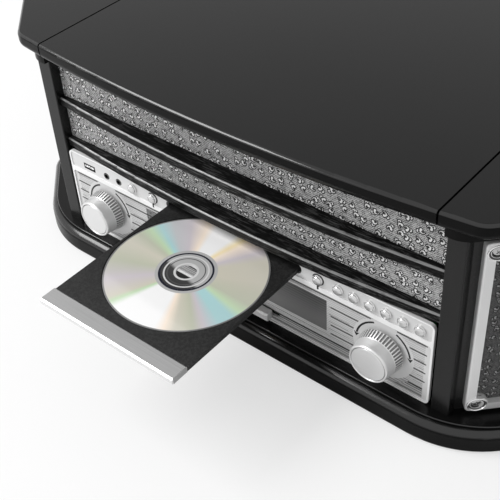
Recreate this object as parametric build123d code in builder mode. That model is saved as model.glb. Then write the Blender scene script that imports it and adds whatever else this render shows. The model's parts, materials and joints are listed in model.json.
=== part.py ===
from build123d import *
import math
import os

os.makedirs("parts", exist_ok=True)

# Driving dimensions in millimetres. The origin is the centre of the footprint on the floor.
FRONT = -165.5            # face of the control fascia and of the corner posts
REAR = 170.5              # back face of the cabinet
PAD_T = 2.0               # rubber pads let into the underside of the plinth
PLINTH_TOP = 19.5
FLOOR_TOP = 21.5          # top of the bottom board, on which the cabinet stands
FASCIA_TOP = 98.0
LOWER_RAIL_TOP = 106.3
UPPER_RAIL_TOP = 144.5
RAIL_H = 8.0
POST_TOP = 178.5          # underside of the cornice
RIM_TOP = 185.5           # top of the cabinet walls, under the lid
LID_TOP = 198.5
SEAM_X = 173.0            # middle of the gap between the lid and each side cap
SEAM_GAP = 1.4
BAY_HALF = 176.0          # half width of the middle bay
POST_OUT = 190.0          # outer edge of a corner post
SIDE_X = 252.0            # outer face of a side wall
CORNER_LINE = 182.0       # x minus depth along the outer face of an angled baffle
WALL = 9.0                # board thickness of the speaker boxes
BOW = 10.0                # sagitta of the bowed lid over its width
LID_NOSE = 19.0           # overhang of the lid in front of the fascia at its middle
RAIL_NOSE = 6.1           # same for the two bow fronted rails
RAIL_BOW = 9.5
CLOTH_Y = 8.3             # depth of the speaker cloth behind the fascia

FASCIA_HALF = 174.0
FASCIA_Z0 = 22.0
FASCIA_T = 3.0
STRIP_Z = 80.5            # ridge between the button strip and the ribbed field
KNOB_X = 135.0
KNOB_Z = 53.2
KNOB_LEN = 18.0
KNOB_R = 18.4             # over the ribs, where they meet the fascia
BUTTON_Z = 88.7
BUTTON_D = 7.0
DOME_RISE = 2.0
BUTTON_FIRST_X = 97.3
BUTTON_PITCH = 13.2
SIDE_BUTTON_X = 80.0      # power on the left of the tray, eject on its right
MODE_X = -102.0
SLIDER_Z = 30.5
SLIDER_X = 28.0
USB_AT = (-151.8, 88.0)
JACKS = [(-132.0, 87.6), (-118.2, 87.6)]
INLET_AT = (120.0, 48.0)  # on the back
LINE_OUT_AT = (-110.0, 48.0)
LINE_OUT_PITCH = 16.0

SLOT_HALF = 65.5
SLOT_Z0 = 85.0
SLOT_Z1 = 94.0
TRAY_HALF = 62.6
TRAY_TOP = 90.0
TRAY_BOTTOM = 86.2
TRAY_TRAVEL = 128.0
BAR_FRONT = -131.0        # depth of the tray bar's front when the tray is out
BAR_DEEP = 14.4
TRAY_REAR = 42.0
DISC_Y = -48.4            # depth of the disc's centre when the tray is out
DISC_R = 60.0
MODULE = 1.0              # loader rack and pinion
PINION_TEETH = 16
PINION_Y = 22.0
BACKLASH = 0.12
PRESSURE = math.radians(20)

DECK_TOP = 150.0
PLATTER_X = -14.0
PLATTER_Y = FRONT + 172.0
PLATTER_R = 140.0
DRIVE_RING_R = 85.0
SPINDLE_R = 3.55
PULLEY_R = 5.0
MOTOR_OFFSET = 75.0       # motor shaft from the platter's centre, to the left and to the back
MOTOR_AT = (PLATTER_X - MOTOR_OFFSET, PLATTER_Y + MOTOR_OFFSET)
PIVOT_X = 143.0
PIVOT_Y = FRONT + 270.0
REST_Y = PIVOT_Y - 165.0
ARM_LEN = 200.0
ARM_Z = 172.0
CLIP_Z = ARM_Z + 6.5
RUNNING = 0.1             # radial clearance of a running fit


def level(z):
    """Horizontal plane at height z."""
    return Plane.XY.offset(z)


def facing(depth):
    """Upright plane that faces the front, at a depth behind the fascia's face."""
    return Plane.XZ.offset(-FRONT - depth)


def save(part, name):
    part.label = name
    export_step(part, "parts/" + name + ".step")


def mirrored(part, name):
    """The left hand piece of a pair, from the right hand one."""
    with BuildPart() as left:
        mirror(part, about=Plane.YZ)
    save(left.part, name)
    return left


def footprint(front_grow, corner_line, side_x, rear_y, corner_r):
    """Outline of the cabinet in plan, with its two angled front corners, as a face."""
    front_y = FRONT - front_grow
    bend_y = FRONT + side_x - corner_line
    half = [(corner_line - front_grow, front_y), (side_x, bend_y), (side_x, rear_y)]
    points = half + [(-x, y) for x, y in reversed(half)]
    with BuildSketch() as outline:
        with BuildLine():
            Polyline(*points, close=True)
        make_face()
        front_corners = outline.vertices().filter_by_position(Axis.Y, front_y - 1, front_y + 1)
        fillet(front_corners, corner_r)
        bends = outline.vertices().filter_by_position(Axis.Y, bend_y - 1, bend_y + 1)
        fillet([v for v in bends if abs(abs(v.X) - side_x) < 1], 25)
        fillet(outline.vertices().filter_by_position(Axis.Y, rear_y - 1, rear_y + 1), 5)
    return outline.sketch


def bow_y(x, nose, sagitta, half=FASCIA_HALF):
    """Y of a bowed front edge at x."""
    return FRONT - nose + sagitta * (x / half) ** 2


def canopy():
    """Outline of the lid and caps together, bowed in front, as a face."""
    line = 207.0
    corner_x = line - LID_NOSE + BOW * (201.0 / FASCIA_HALF) ** 2
    corner_y = bow_y(corner_x, LID_NOSE, BOW)
    side = SIDE_X + 10
    bend_y = FRONT + side - line
    with BuildSketch() as outline:
        with BuildLine():
            ThreePointArc((-corner_x, corner_y), (0, FRONT - LID_NOSE), (corner_x, corner_y))
            Polyline((corner_x, corner_y), (side, bend_y), (side, REAR + 4), (-side, REAR + 4),
                     (-side, bend_y), (-corner_x, corner_y))
        make_face()
        fillet(outline.vertices().filter_by_position(Axis.Y, corner_y - 1, corner_y + 1), 16)
        bends = outline.vertices().filter_by_position(Axis.Y, bend_y - 1, bend_y + 1)
        fillet([v for v in bends if abs(abs(v.X) - side) < 1], 25)
        fillet(outline.vertices().filter_by_position(Axis.Y, REAR + 3, REAR + 5), 5)
    return outline.sketch


# Base: moulded plinth, bottom board and rubber pads
with BuildPart() as base_plinth:
    with BuildSketch(level(0)):
        add(footprint(15, 217, SIDE_X + 18, REAR + 10, 85))
    extrude(amount=PLINTH_TOP)
    fillet(base_plinth.faces().sort_by(Axis.Z)[-1].edges(), 6)
    fillet(base_plinth.faces().sort_by(Axis.Z)[0].edges(), 3)
    with BuildSketch(level(0)):
        with GridLocations(400, 250, 2, 2):
            Circle(11)
    extrude(amount=PAD_T, mode=Mode.SUBTRACT)
save(base_plinth.part, "base_plinth")

with BuildPart() as bottom_board:
    with BuildSketch(level(PLINTH_TOP)):
        add(footprint(9.3, 210, SIDE_X + 11, REAR + 5, 85))
    extrude(amount=FLOOR_TOP - PLINTH_TOP)
    fillet(bottom_board.faces().sort_by(Axis.Z)[-1].edges(), 0.8)
save(bottom_board.part, "bottom_board")

with BuildPart() as rubber_feet:
    with BuildSketch(level(0)):
        with GridLocations(400, 250, 2, 2):
            Circle(11)
    extrude(amount=PAD_T)
save(rubber_feet.part, "rubber_feet")

# Corner posts
with BuildPart() as right_corner_post:
    with BuildSketch(level(FLOOR_TOP)):
        with BuildLine():
            Polyline((BAY_HALF, FRONT), (POST_OUT, FRONT), (POST_OUT, FRONT + 8),
                     (BAY_HALF, FRONT + 8), close=True)
        make_face()
    extrude(amount=POST_TOP - FLOOR_TOP)
    fillet(right_corner_post.edges().filter_by(Axis.Z).group_by(Axis.Y)[0], 1.0)
with BuildPart() as corner_posts:
    add(right_corner_post.part)
    mirror(right_corner_post.part, about=Plane.YZ)
save(corner_posts.part, "corner_posts")

# Angled baffle frame: its plane runs back and outwards at 45 degrees
baffle_run = (SIDE_X - POST_OUT) * math.sqrt(2)
baffle_mid = (POST_OUT + SIDE_X) / 2
BAFFLE = Plane(origin=(baffle_mid, FRONT + baffle_mid - CORNER_LINE, 99.5),
               x_dir=(1, 1, 0), z_dir=(1, -1, 0))
FRAME_W = baffle_run - 11
FRAME_H = 151.0
FRAME_T = 6.0
SPEAKER_R = 33.0
SPEAKER_AT = (0, 22)         # in the middle of the baffle, above its port
SCREWS = [(sx * (FRAME_W / 2 - 7.5), sz * (FRAME_H / 2 - 7.5)) for sx in (-1, 1) for sz in (-1, 1)]

# Speaker boxes: inner wall, angled baffle, side and back boards glued into one
with BuildPart() as right_speaker_box:
    outer = [(BAY_HALF, FRONT + 8), (POST_OUT, FRONT + 8),
             (SIDE_X, FRONT + SIDE_X - CORNER_LINE), (SIDE_X, REAR), (BAY_HALF, REAR)]
    with BuildSketch(level(FLOOR_TOP)) as box_plan:
        with BuildLine():
            Polyline(*outer, close=True)
        make_face()
        offset(amount=-WALL, kind=Kind.INTERSECTION, mode=Mode.SUBTRACT)
    extrude(amount=RIM_TOP - FLOOR_TOP)
    with BuildSketch(BAFFLE):
        with Locations(SPEAKER_AT):
            Circle(SPEAKER_R - 1)
        with Locations((0, -38)):
            Circle(14)
        with Locations(*SCREWS):
            Circle(1.8)
    extrude(amount=-WALL - 1, mode=Mode.SUBTRACT)
    with BuildSketch(level(141)):
        with Locations((BAY_HALF - 4, (FRONT + REAR) / 2)):
            Rectangle(8, 280)
    extrude(amount=6)
save(right_speaker_box.part, "right_speaker_box")
mirrored(right_speaker_box.part, "left_speaker_box")

# Grille frames, their cloth and screws
with BuildPart() as right_grille_frame:
    with BuildSketch(BAFFLE):
        RectangleRounded(FRAME_W, FRAME_H, 4)
        RectangleRounded(FRAME_W - 14, FRAME_H - 14, 3, mode=Mode.SUBTRACT)
        with Locations(*SCREWS):
            Ellipse(8.2, 6.2)
        RectangleRounded(FRAME_W, FRAME_H, 4, mode=Mode.INTERSECT)
    extrude(amount=FRAME_T)
    front_loops = right_grille_frame.faces().sort_by(Axis(BAFFLE.origin, BAFFLE.z_dir))[-1]
    fillet(front_loops.outer_wire().edges(), 1.6)
    with Locations(BAFFLE.offset(FRAME_T)):
        with Locations(*SCREWS):
            CounterBoreHole(1.8, 3.9, 1.6, FRAME_T)
save(right_grille_frame.part, "right_grille_frame")
mirrored(right_grille_frame.part, "left_grille_frame")

with BuildPart() as right_grille_cloth:
    with BuildSketch(BAFFLE):
        RectangleRounded(FRAME_W - 14.2, FRAME_H - 14.2, 3)
        with Locations(*SCREWS):
            Ellipse(8.4, 6.4, mode=Mode.SUBTRACT)
    extrude(amount=1.5)
with BuildPart() as side_cloths:
    add(right_grille_cloth.part)
    mirror(right_grille_cloth.part, about=Plane.YZ)
save(side_cloths.part, "side_cloths")

with BuildPart() as right_screws:
    with BuildSketch(BAFFLE.offset(FRAME_T - 1.6)):
        with Locations(*SCREWS):
            Circle(3.6)
    extrude(amount=1.0, taper=20)
    with BuildSketch(BAFFLE.offset(-6)):
        with Locations(*SCREWS):
            Circle(1.7)
    extrude(amount=FRAME_T + 4.4)
with BuildPart() as grille_screws:
    add(right_screws.part)
    mirror(right_screws.part, about=Plane.YZ)
save(grille_screws.part, "grille_screws")

# Speakers behind the angled baffles: frame, cone, basket and magnet
with BuildPart() as right_speaker:
    with BuildSketch(BAFFLE.offset(-WALL - 2)):
        with Locations(SPEAKER_AT):
            Circle(38)
            Circle(30, mode=Mode.SUBTRACT)
    extrude(amount=2)
    with BuildSketch(BAFFLE.offset(-WALL - 2)):
        with Locations(SPEAKER_AT):
            Circle(31)
    with BuildSketch(BAFFLE.offset(-WALL - 16)):
        with Locations(SPEAKER_AT):
            Circle(12)
    loft()
    with BuildSketch(BAFFLE.offset(-WALL)):
        with Locations(SPEAKER_AT):
            Circle(29)
    with BuildSketch(BAFFLE.offset(-WALL - 14)):
        with Locations(SPEAKER_AT):
            Circle(10)
    loft(mode=Mode.SUBTRACT)
    with BuildSketch(BAFFLE.offset(-WALL - 22)):
        with Locations(SPEAKER_AT):
            Circle(17)
    extrude(amount=8)
    with BuildSketch(BAFFLE.offset(-WALL - 15)):
        with Locations(SPEAKER_AT):
            Circle(9)
    extrude(amount=5, taper=30)
with BuildPart() as speakers:
    add(right_speaker.part)
    mirror(right_speaker.part, about=Plane.YZ)
save(speakers.part, "speakers")

# Front baffle, with a lip over the top edge of the cloth
with BuildPart() as front_baffle:
    with BuildSketch(Plane.YZ.offset(-BAY_HALF)):
        with BuildLine():
            Polyline((FRONT + CLOTH_Y + 0.9, FASCIA_TOP), (FRONT + 14, FASCIA_TOP),
                     (FRONT + 14, RIM_TOP), (FRONT + 3, RIM_TOP), (FRONT + 3, RIM_TOP - 4),
                     (FRONT + CLOTH_Y + 0.9, RIM_TOP - 4), close=True)
        make_face()
    extrude(amount=2 * BAY_HALF)
save(front_baffle.part, "front_baffle")

with BuildPart() as front_cloth:
    with BuildSketch(facing(CLOTH_Y + 0.9)):
        with Locations((0, (FASCIA_TOP + RIM_TOP - 4) / 2)):
            Rectangle(2 * BAY_HALF, RIM_TOP - 4 - FASCIA_TOP)
    extrude(amount=0.9)
save(front_cloth.part, "front_cloth")


# Bow fronted rails, two round beads along each nose
def bowed_rail(top, name):
    bead = RAIL_H / 2
    with BuildPart() as rail:
        for start, height, back in ((top - RAIL_H, bead, 0), (top - bead, bead, 0),
                                    (top - bead - 0.5, 1, 1.4)):
            with BuildSketch(level(start)):
                with BuildLine():
                    end_y = bow_y(BAY_HALF, RAIL_NOSE - back, RAIL_BOW)
                    ThreePointArc((-BAY_HALF, end_y), (0, FRONT - RAIL_NOSE + back),
                                  (BAY_HALF, end_y))
                    Polyline((BAY_HALF, end_y), (BAY_HALF, FRONT + CLOTH_Y),
                             (-BAY_HALF, FRONT + CLOTH_Y), (-BAY_HALF, end_y))
                make_face()
            extrude(amount=height)
        front_edges = rail.edges().filter_by(GeomType.CIRCLE).group_by(Axis.Y)[0]
        fillet(front_edges, 1.6)
    save(rail.part, name)


bowed_rail(LOWER_RAIL_TOP, "lower_rail")
bowed_rail(UPPER_RAIL_TOP, "upper_rail")

# Side caps over the speaker boxes, each with its cornice
with BuildPart() as right_cap:
    with BuildSketch(level(RIM_TOP)):
        add(canopy())
        with Locations((SEAM_X + SEAM_GAP / 2 + 100, 0)):
            Rectangle(200, 500, mode=Mode.INTERSECT)
    extrude(amount=LID_TOP - RIM_TOP)
    side_faces = right_cap.faces().filter_by(Axis.Z)
    top_edges = side_faces.sort_by(Axis.Z)[-1].edges()
    low_edges = side_faces.sort_by(Axis.Z)[0].edges()
    seam_at = SEAM_X + SEAM_GAP / 2
    fillet([e for e in top_edges if e.center().X > seam_at + 1], 2.5)
    fillet([e for e in low_edges if e.center().X > seam_at + 1], 6)
    with BuildSketch(level(POST_TOP)):
        add(footprint(4, CORNER_LINE + 10, SIDE_X + 5, REAR, 20))
        with Locations((BAY_HALF + 100, 0)):
            Rectangle(200, 500, mode=Mode.INTERSECT)
        with BuildLine():
            Polyline((BAY_HALF - 1, FRONT + 8), (POST_OUT, FRONT + 8),
                     (SIDE_X, FRONT + SIDE_X - CORNER_LINE), (SIDE_X, REAR + 1),
                     (BAY_HALF - 1, REAR + 1), close=True)
        make_face(mode=Mode.SUBTRACT)
    extrude(amount=RIM_TOP - POST_TOP)
save(right_cap.part, "right_cap")
mirrored(right_cap.part, "left_cap")

# Lid: bowed slab, hollow underneath, hinged at the back
LID_HALF = SEAM_X - SEAM_GAP / 2
with BuildPart() as lid:
    with BuildSketch(level(RIM_TOP)):
        add(canopy())
        Rectangle(2 * LID_HALF, 500, mode=Mode.INTERSECT)
    extrude(amount=LID_TOP - RIM_TOP)
    nose = lid.edges().filter_by(GeomType.CIRCLE).group_by(Axis.Z)
    fillet(nose[-1], 2.5)
    fillet(lid.edges().filter_by(GeomType.CIRCLE).group_by(Axis.Z)[0], 6)
    with BuildSketch(level(RIM_TOP)):
        with Locations((0, (FRONT + REAR) / 2 + 2)):
            RectangleRounded(2 * LID_HALF - 12, REAR - FRONT - 32, 8)
    extrude(amount=LID_TOP - RIM_TOP - 3, mode=Mode.SUBTRACT)
save(lid.part, "lid")

# Back panel with vents, the mains inlet's hole and the sockets' hole
with BuildPart() as back_panel:
    with BuildSketch(Plane.XZ.offset(-REAR)):
        with Locations((0, (FLOOR_TOP + RIM_TOP) / 2)):
            Rectangle(2 * BAY_HALF, RIM_TOP - FLOOR_TOP)
        with Locations(INLET_AT):
            Rectangle(21, 13, mode=Mode.SUBTRACT)
        with Locations(LINE_OUT_AT):
            Rectangle(34, 16, mode=Mode.SUBTRACT)
        with Locations((0, 110)):
            with GridLocations(12, 0, 12, 1):
                SlotOverall(30, 3, rotation=90, mode=Mode.SUBTRACT)
    extrude(amount=6)
save(back_panel.part, "back_panel")

with BuildPart() as mains_inlet:
    with BuildSketch(Plane.XZ.offset(-REAR)):
        with Locations(INLET_AT):
            RectangleRounded(26, 18, 2)
    extrude(amount=-2)
    with BuildSketch(Plane.XZ.offset(-REAR)):
        with Locations(INLET_AT):
            Rectangle(20.6, 12.6)
    extrude(amount=14)
    with BuildSketch(Plane.XZ.offset(-REAR - 2)):
        with Locations(INLET_AT):
            SlotOverall(14.2, 8.2)
    extrude(amount=11, mode=Mode.SUBTRACT)
    with BuildSketch(Plane.XZ.offset(-REAR - 1)):
        with Locations(INLET_AT):
            with GridLocations(8.6, 0, 2, 1):
                Circle(1.2)
    extrude(amount=11)
save(mains_inlet.part, "mains_inlet")

with BuildPart() as line_sockets:
    with BuildSketch(Plane.XZ.offset(-REAR)):
        with Locations(LINE_OUT_AT):
            RectangleRounded(42, 20, 2)
    extrude(amount=-1.5)
    with BuildSketch(Plane.XZ.offset(-REAR)):
        with Locations(LINE_OUT_AT):
            Rectangle(33.6, 15.6)
    extrude(amount=12)
    with BuildSketch(Plane.XZ.offset(-REAR - 1.5)):
        with Locations(LINE_OUT_AT):
            with GridLocations(LINE_OUT_PITCH, 0, 2, 1):
                Circle(4.2)
        with Locations(LINE_OUT_AT):
            with GridLocations(LINE_OUT_PITCH, 0, 2, 1):
                Circle(1.7, mode=Mode.SUBTRACT)
    extrude(amount=-8)
save(line_sockets.part, "line_sockets")

# Control fascia: raised rim, plain button strip, ridge and ribbed field
PRESETS = [BUTTON_FIRST_X + BUTTON_PITCH * i for i in range(6)]
CAPS = [(x, BUTTON_Z) for x in PRESETS + [MODE_X, -SIDE_BUTTON_X, SIDE_BUTTON_X]]
KNOBS = [(-KNOB_X, KNOB_Z), (KNOB_X, KNOB_Z)]
WINDOW_HALF = 87.0
WINDOW_Z0 = 42.0
WINDOW_Z1 = 72.0
STRIP_DEEP = 0.7
FIELD_DEEP = 1.0
GROOVE_PITCH = 7.2
CHANNEL_Z0 = 25.6         # step along the foot of the field, in which the slider runs
CHANNEL_Z1 = 35.8
CHANNEL_DEEP = 0.8
SHAFT_HOLE_R = 3.6
fascia_mid = (FASCIA_Z0 + FASCIA_TOP) / 2
fascia_h = FASCIA_TOP - FASCIA_Z0
with BuildPart() as control_fascia:
    with BuildSketch(facing(FASCIA_T)):
        with Locations((0, fascia_mid)):
            RectangleRounded(2 * FASCIA_HALF, fascia_h, 4)
    extrude(amount=FASCIA_T)
    with BuildSketch(facing(0)):
        with Locations((0, (STRIP_Z + 1 + FASCIA_TOP) / 2)):
            RectangleRounded(2 * FASCIA_HALF - 3, FASCIA_TOP - STRIP_Z - 3.2, 2.5)
    extrude(amount=-STRIP_DEEP, mode=Mode.SUBTRACT)
    with BuildSketch(facing(0)):
        with Locations((0, (STRIP_Z - 1 + FASCIA_Z0) / 2)):
            RectangleRounded(2 * FASCIA_HALF - 3, STRIP_Z - FASCIA_Z0 - 3.2, 2.5)
    extrude(amount=-FIELD_DEEP, mode=Mode.SUBTRACT)
    with BuildSketch(facing(FIELD_DEEP)):
        for row in range(6):
            with Locations((0, STRIP_Z - 6 - row * GROOVE_PITCH)):
                Rectangle(2 * FASCIA_HALF - 12, 0.8)
        with Locations(*KNOBS):
            Circle(29, mode=Mode.SUBTRACT)
        with Locations((0, (WINDOW_Z0 + WINDOW_Z1) / 2)):
            Rectangle(2 * WINDOW_HALF + 4, WINDOW_Z1 - WINDOW_Z0 + 3, mode=Mode.SUBTRACT)
    extrude(amount=-0.6, mode=Mode.SUBTRACT)
    with BuildSketch(facing(FIELD_DEEP)):
        with Locations((0, (CHANNEL_Z0 + CHANNEL_Z1) / 2)):
            Rectangle(2 * FASCIA_HALF - 12, CHANNEL_Z1 - CHANNEL_Z0)
        with Locations(*KNOBS):
            Circle(29, mode=Mode.SUBTRACT)
    extrude(amount=-CHANNEL_DEEP, mode=Mode.SUBTRACT)
    with BuildSketch(facing(FIELD_DEEP + CHANNEL_DEEP)):
        with Locations((0, SLIDER_Z)):
            Rectangle(2 * FASCIA_HALF - 12, 0.8)
        with Locations(*KNOBS):
            Circle(29, mode=Mode.SUBTRACT)
    extrude(amount=-0.6, mode=Mode.SUBTRACT)
    with BuildSketch(facing(0)):
        with Locations((0, (SLOT_Z0 + SLOT_Z1) / 2)):
            SlotOverall(2 * SLOT_HALF, SLOT_Z1 - SLOT_Z0)
        with Locations((0, (WINDOW_Z0 + WINDOW_Z1) / 2)):
            Rectangle(2 * WINDOW_HALF, WINDOW_Z1 - WINDOW_Z0)
        with Locations(*CAPS):
            Circle(BUTTON_D / 2 + RUNNING)
        with Locations(*KNOBS):
            Circle(SHAFT_HOLE_R)
        with Locations(USB_AT):
            Rectangle(13, 5.4)
        with Locations(*JACKS):
            Circle(3.1)
        with Locations((0, SLIDER_Z)):
            SlotOverall(86, 3.2)
    extrude(amount=-FASCIA_T, mode=Mode.SUBTRACT)
save(control_fascia.part, "control_fascia")

with BuildPart() as display_lens:
    with BuildSketch(facing(2.8)):
        with Locations((0, (WINDOW_Z0 + WINDOW_Z1) / 2)):
            Rectangle(2 * WINDOW_HALF - 0.2, WINDOW_Z1 - WINDOW_Z0 - 0.2)
    extrude(amount=1.8)
    with BuildSketch(facing(FASCIA_T + 1.2)):
        with Locations((0, (WINDOW_Z0 + WINDOW_Z1) / 2)):
            Rectangle(2 * WINDOW_HALF + 6, WINDOW_Z1 - WINDOW_Z0 + 4)
    extrude(amount=1.2)
    with BuildSketch(facing(FASCIA_T)):
        with Locations((0, (WINDOW_Z0 + WINDOW_Z1) / 2)):
            Rectangle(2 * WINDOW_HALF - 0.2, WINDOW_Z1 - WINDOW_Z0 - 0.2)
    extrude(amount=0.4)
save(display_lens.part, "display_lens")

# Control board: carries the rotary encoders, push switches, slide switch and display module
BOARD_Y = 8.0
SHAFT_R = 3.0             # knob shafts
with BuildPart() as control_board:
    with BuildSketch(facing(BOARD_Y + 1.6)):
        with Locations((0, 52.75)):
            Rectangle(340, 58.5)
        with Locations((-121, 88), (121, 88)):
            Rectangle(98, 14)
    extrude(amount=1.6)
    with BuildSketch(facing(BOARD_Y)):
        with Locations(*CAPS):
            Rectangle(6, 6)
    extrude(amount=2.4)
    with BuildSketch(facing(BOARD_Y)):
        with Locations((0, (WINDOW_Z0 + WINDOW_Z1) / 2)):
            Rectangle(110, 28)
        with Locations(*KNOBS):
            Rectangle(14, 14)
    extrude(amount=BOARD_Y - FASCIA_T - 1.4)
    with BuildSketch(facing(BOARD_Y)):
        with Locations(*KNOBS):
            Circle(SHAFT_R)
    extrude(amount=BOARD_Y + 12)
save(control_board.part, "control_board")


# Round knob: ribbed grip that flares to the fascia, plain barrel, groove round a flat disc cap
def knob(x, name):
    grip = FRONT - KNOB_LEN / 2
    nose = FRONT - KNOB_LEN
    with BuildPart() as turned:
        with BuildSketch(Plane.YZ.offset(x)):
            with BuildLine():
                Polyline((FRONT + 0.8, KNOB_Z), (FRONT + 0.8, KNOB_Z + KNOB_R - 0.8),
                         (FRONT - 0.4, KNOB_Z + KNOB_R), (grip + 0.4, KNOB_Z + KNOB_R - 1.1),
                         (grip, KNOB_Z + KNOB_R - 1.9), (nose + 1.2, KNOB_Z + KNOB_R - 2.6),
                         (nose, KNOB_Z + KNOB_R - 3.2), (nose, KNOB_Z + KNOB_R - 4.2),
                         (nose + 0.8, KNOB_Z + KNOB_R - 4.6), (nose + 0.2, KNOB_Z + KNOB_R - 5.1),
                         (nose + 0.2, KNOB_Z), close=True)
            make_face()
        revolve(axis=Axis((x, 0, KNOB_Z), (0, 1, 0)))
        with BuildSketch(facing(-0.4)):
            with Locations((x, KNOB_Z)):
                with PolarLocations(KNOB_R - 0.1, 44):
                    Rectangle(1.5, 1.5, rotation=45)
        extrude(amount=KNOB_LEN / 2 - 0.4, mode=Mode.SUBTRACT)
        with BuildSketch(facing(0.8)):
            with Locations((x, KNOB_Z)):
                Circle(SHAFT_R + RUNNING / 2)
        extrude(amount=13.6, mode=Mode.SUBTRACT)
        with BuildSketch(facing(0.8)):
            with Locations((x, KNOB_Z)):
                Circle(KNOB_R - 3.6)
                Circle(6.5, mode=Mode.SUBTRACT)
        extrude(amount=12, mode=Mode.SUBTRACT)
    save(turned.part, name)


knob(-KNOB_X, "volume_knob")
knob(KNOB_X, "tuning_knob")


# Push button: domed cap through the fascia, flange behind it
def button(x, name):
    with BuildPart() as cap:
        with BuildSketch(Plane.YZ.offset(x)):
            r = BUTTON_D / 2
            dome = (r * r + DOME_RISE ** 2) / (2 * DOME_RISE)
            half = math.asin(r / dome) / 2
            crown = FRONT - 0.6 - DOME_RISE
            with BuildLine():
                Polyline((crown, BUTTON_Z), (FRONT + 4.1, BUTTON_Z),
                         (FRONT + 4.1, BUTTON_Z + r + 0.9), (FRONT + 3.1, BUTTON_Z + r + 0.9),
                         (FRONT + 3.1, BUTTON_Z + r), (FRONT - 0.6, BUTTON_Z + r))
                ThreePointArc((FRONT - 0.6, BUTTON_Z + r),
                              (crown + dome - dome * math.cos(half), BUTTON_Z + dome * math.sin(half)),
                              (crown, BUTTON_Z))
            make_face()
        revolve(axis=Axis((x, 0, BUTTON_Z), (0, 1, 0)))
    save(cap.part, name)


for number, button_x in enumerate(PRESETS, start=1):
    button(button_x, "preset_button_" + str(number))
button(MODE_X, "mode_button")
button(-SIDE_BUTTON_X, "power_button")
button(SIDE_BUTTON_X, "eject_button")

with BuildPart() as function_slider:
    with BuildSketch(facing(0.8)):
        with Locations((SLIDER_X, SLIDER_Z)):
            Rectangle(18, 8)
    extrude(amount=6.8)
    fillet(function_slider.faces().sort_by(Axis.Y)[0].edges(), 1)
    with BuildSketch(facing(BOARD_Y - 0.4)):
        with Locations((SLIDER_X, SLIDER_Z)):
            Rectangle(8, 2.6)
    extrude(amount=BOARD_Y - 1)
save(function_slider.part, "function_slider")

with BuildPart() as usb_socket:
    with BuildSketch(facing(BOARD_Y)):
        with Locations(USB_AT):
            Rectangle(14.4, 7)
    extrude(amount=BOARD_Y - FASCIA_T)
    with BuildSketch(facing(FASCIA_T)):
        with Locations(USB_AT):
            Rectangle(12.8, 5.2)
    extrude(amount=2.4)
    with BuildSketch(facing(0)):
        with Locations(USB_AT):
            Rectangle(12, 4.4)
            with Locations((0, 0.9)):
                Rectangle(10.6, 1.8, mode=Mode.SUBTRACT)
    extrude(amount=-BOARD_Y + 1, mode=Mode.SUBTRACT)

with BuildPart() as audio_jacks:
    with BuildSketch(facing(BOARD_Y)):
        with Locations(*JACKS):
            Rectangle(9, 9)
    extrude(amount=BOARD_Y - FASCIA_T)
    with BuildSketch(facing(FASCIA_T)):
        with Locations(*JACKS):
            Circle(3.0)
    extrude(amount=2.4)
    with BuildSketch(facing(0)):
        with Locations(*JACKS):
            Circle(1.8)
    extrude(amount=-BOARD_Y + 1, mode=Mode.SUBTRACT)
with BuildPart() as front_sockets:
    add(usb_socket.part)
    add(audio_jacks.part)
save(front_sockets.part, "front_sockets")


# Loader: tray with a rack along its left edge, and a pinion with involute teeth
PITCH = math.pi * MODULE
RACK_LINE = TRAY_HALF - MODULE
RACK_DEPTH = 2.25 * MODULE
RACK_TOP = TRAY_BOTTOM + 2
PINION_R = MODULE * PINION_TEETH / 2
PINION_X = -RACK_LINE - PINION_R - 0.1


def rack_gap(y):
    """Corners of the gap between two rack teeth, centred at y."""
    slope = math.tan(PRESSURE)
    mouth = PITCH / 4 + BACKLASH / 2 + (MODULE + 0.2) * slope
    root = PITCH / 4 + BACKLASH / 2 - (RACK_DEPTH - MODULE) * slope
    inner = -TRAY_HALF + RACK_DEPTH
    outer_x = -TRAY_HALF - 0.2
    return [(inner, y - root), (inner, y + root), (outer_x, y + mouth), (outer_x, y - mouth)]


with BuildPart() as disc_tray:
    with BuildSketch(level(TRAY_BOTTOM)):
        tray_front = FRONT + BAR_FRONT + BAR_DEEP
        tray_len = FRONT + TRAY_REAR - tray_front
        with Locations((0, tray_front + tray_len / 2)):
            Rectangle(2 * TRAY_HALF, tray_len)
    extrude(amount=TRAY_TOP - TRAY_BOTTOM)
    with BuildSketch(level(TRAY_TOP)):
        with Locations((0, FRONT + DISC_Y)):
            Circle(DISC_R + 0.7)
    extrude(amount=-1.6, mode=Mode.SUBTRACT)
    with BuildSketch(level(TRAY_TOP)):
        with Locations((0, FRONT + DISC_Y)):
            Circle(41)
    extrude(amount=-2.3, mode=Mode.SUBTRACT)
    with BuildSketch(level(TRAY_TOP)):
        with Locations((0, FRONT + DISC_Y + 27)):
            SlotOverall(90, 36, rotation=90)
    extrude(amount=-5, mode=Mode.SUBTRACT)
    with BuildSketch(level(TRAY_BOTTOM)):
        gaps = int((TRAY_TRAVEL + 26) / PITCH)
        for step in range(gaps):
            gap_y = FRONT + PINION_Y + 6 * PITCH - step * PITCH
            with BuildLine():
                Polyline(*rack_gap(gap_y), close=True)
            make_face()
    extrude(amount=RACK_TOP - TRAY_BOTTOM, mode=Mode.SUBTRACT)
save(disc_tray.part, "disc_tray")

with BuildPart() as tray_bar:
    with BuildSketch(Plane.YZ.offset(-TRAY_HALF)):
        y0 = FRONT + BAR_FRONT
        with BuildLine():
            Polyline((y0, 86.6), (y0, 90.2), (y0 + 1.2, 91.2), (y0 + BAR_DEEP - 1, 91.2),
                     (y0 + BAR_DEEP, 90.4), (y0 + BAR_DEEP, 85.8), (y0 + 1, 85.8), close=True)
        make_face()
    extrude(amount=2 * TRAY_HALF)
save(tray_bar.part, "tray_bar")

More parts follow.
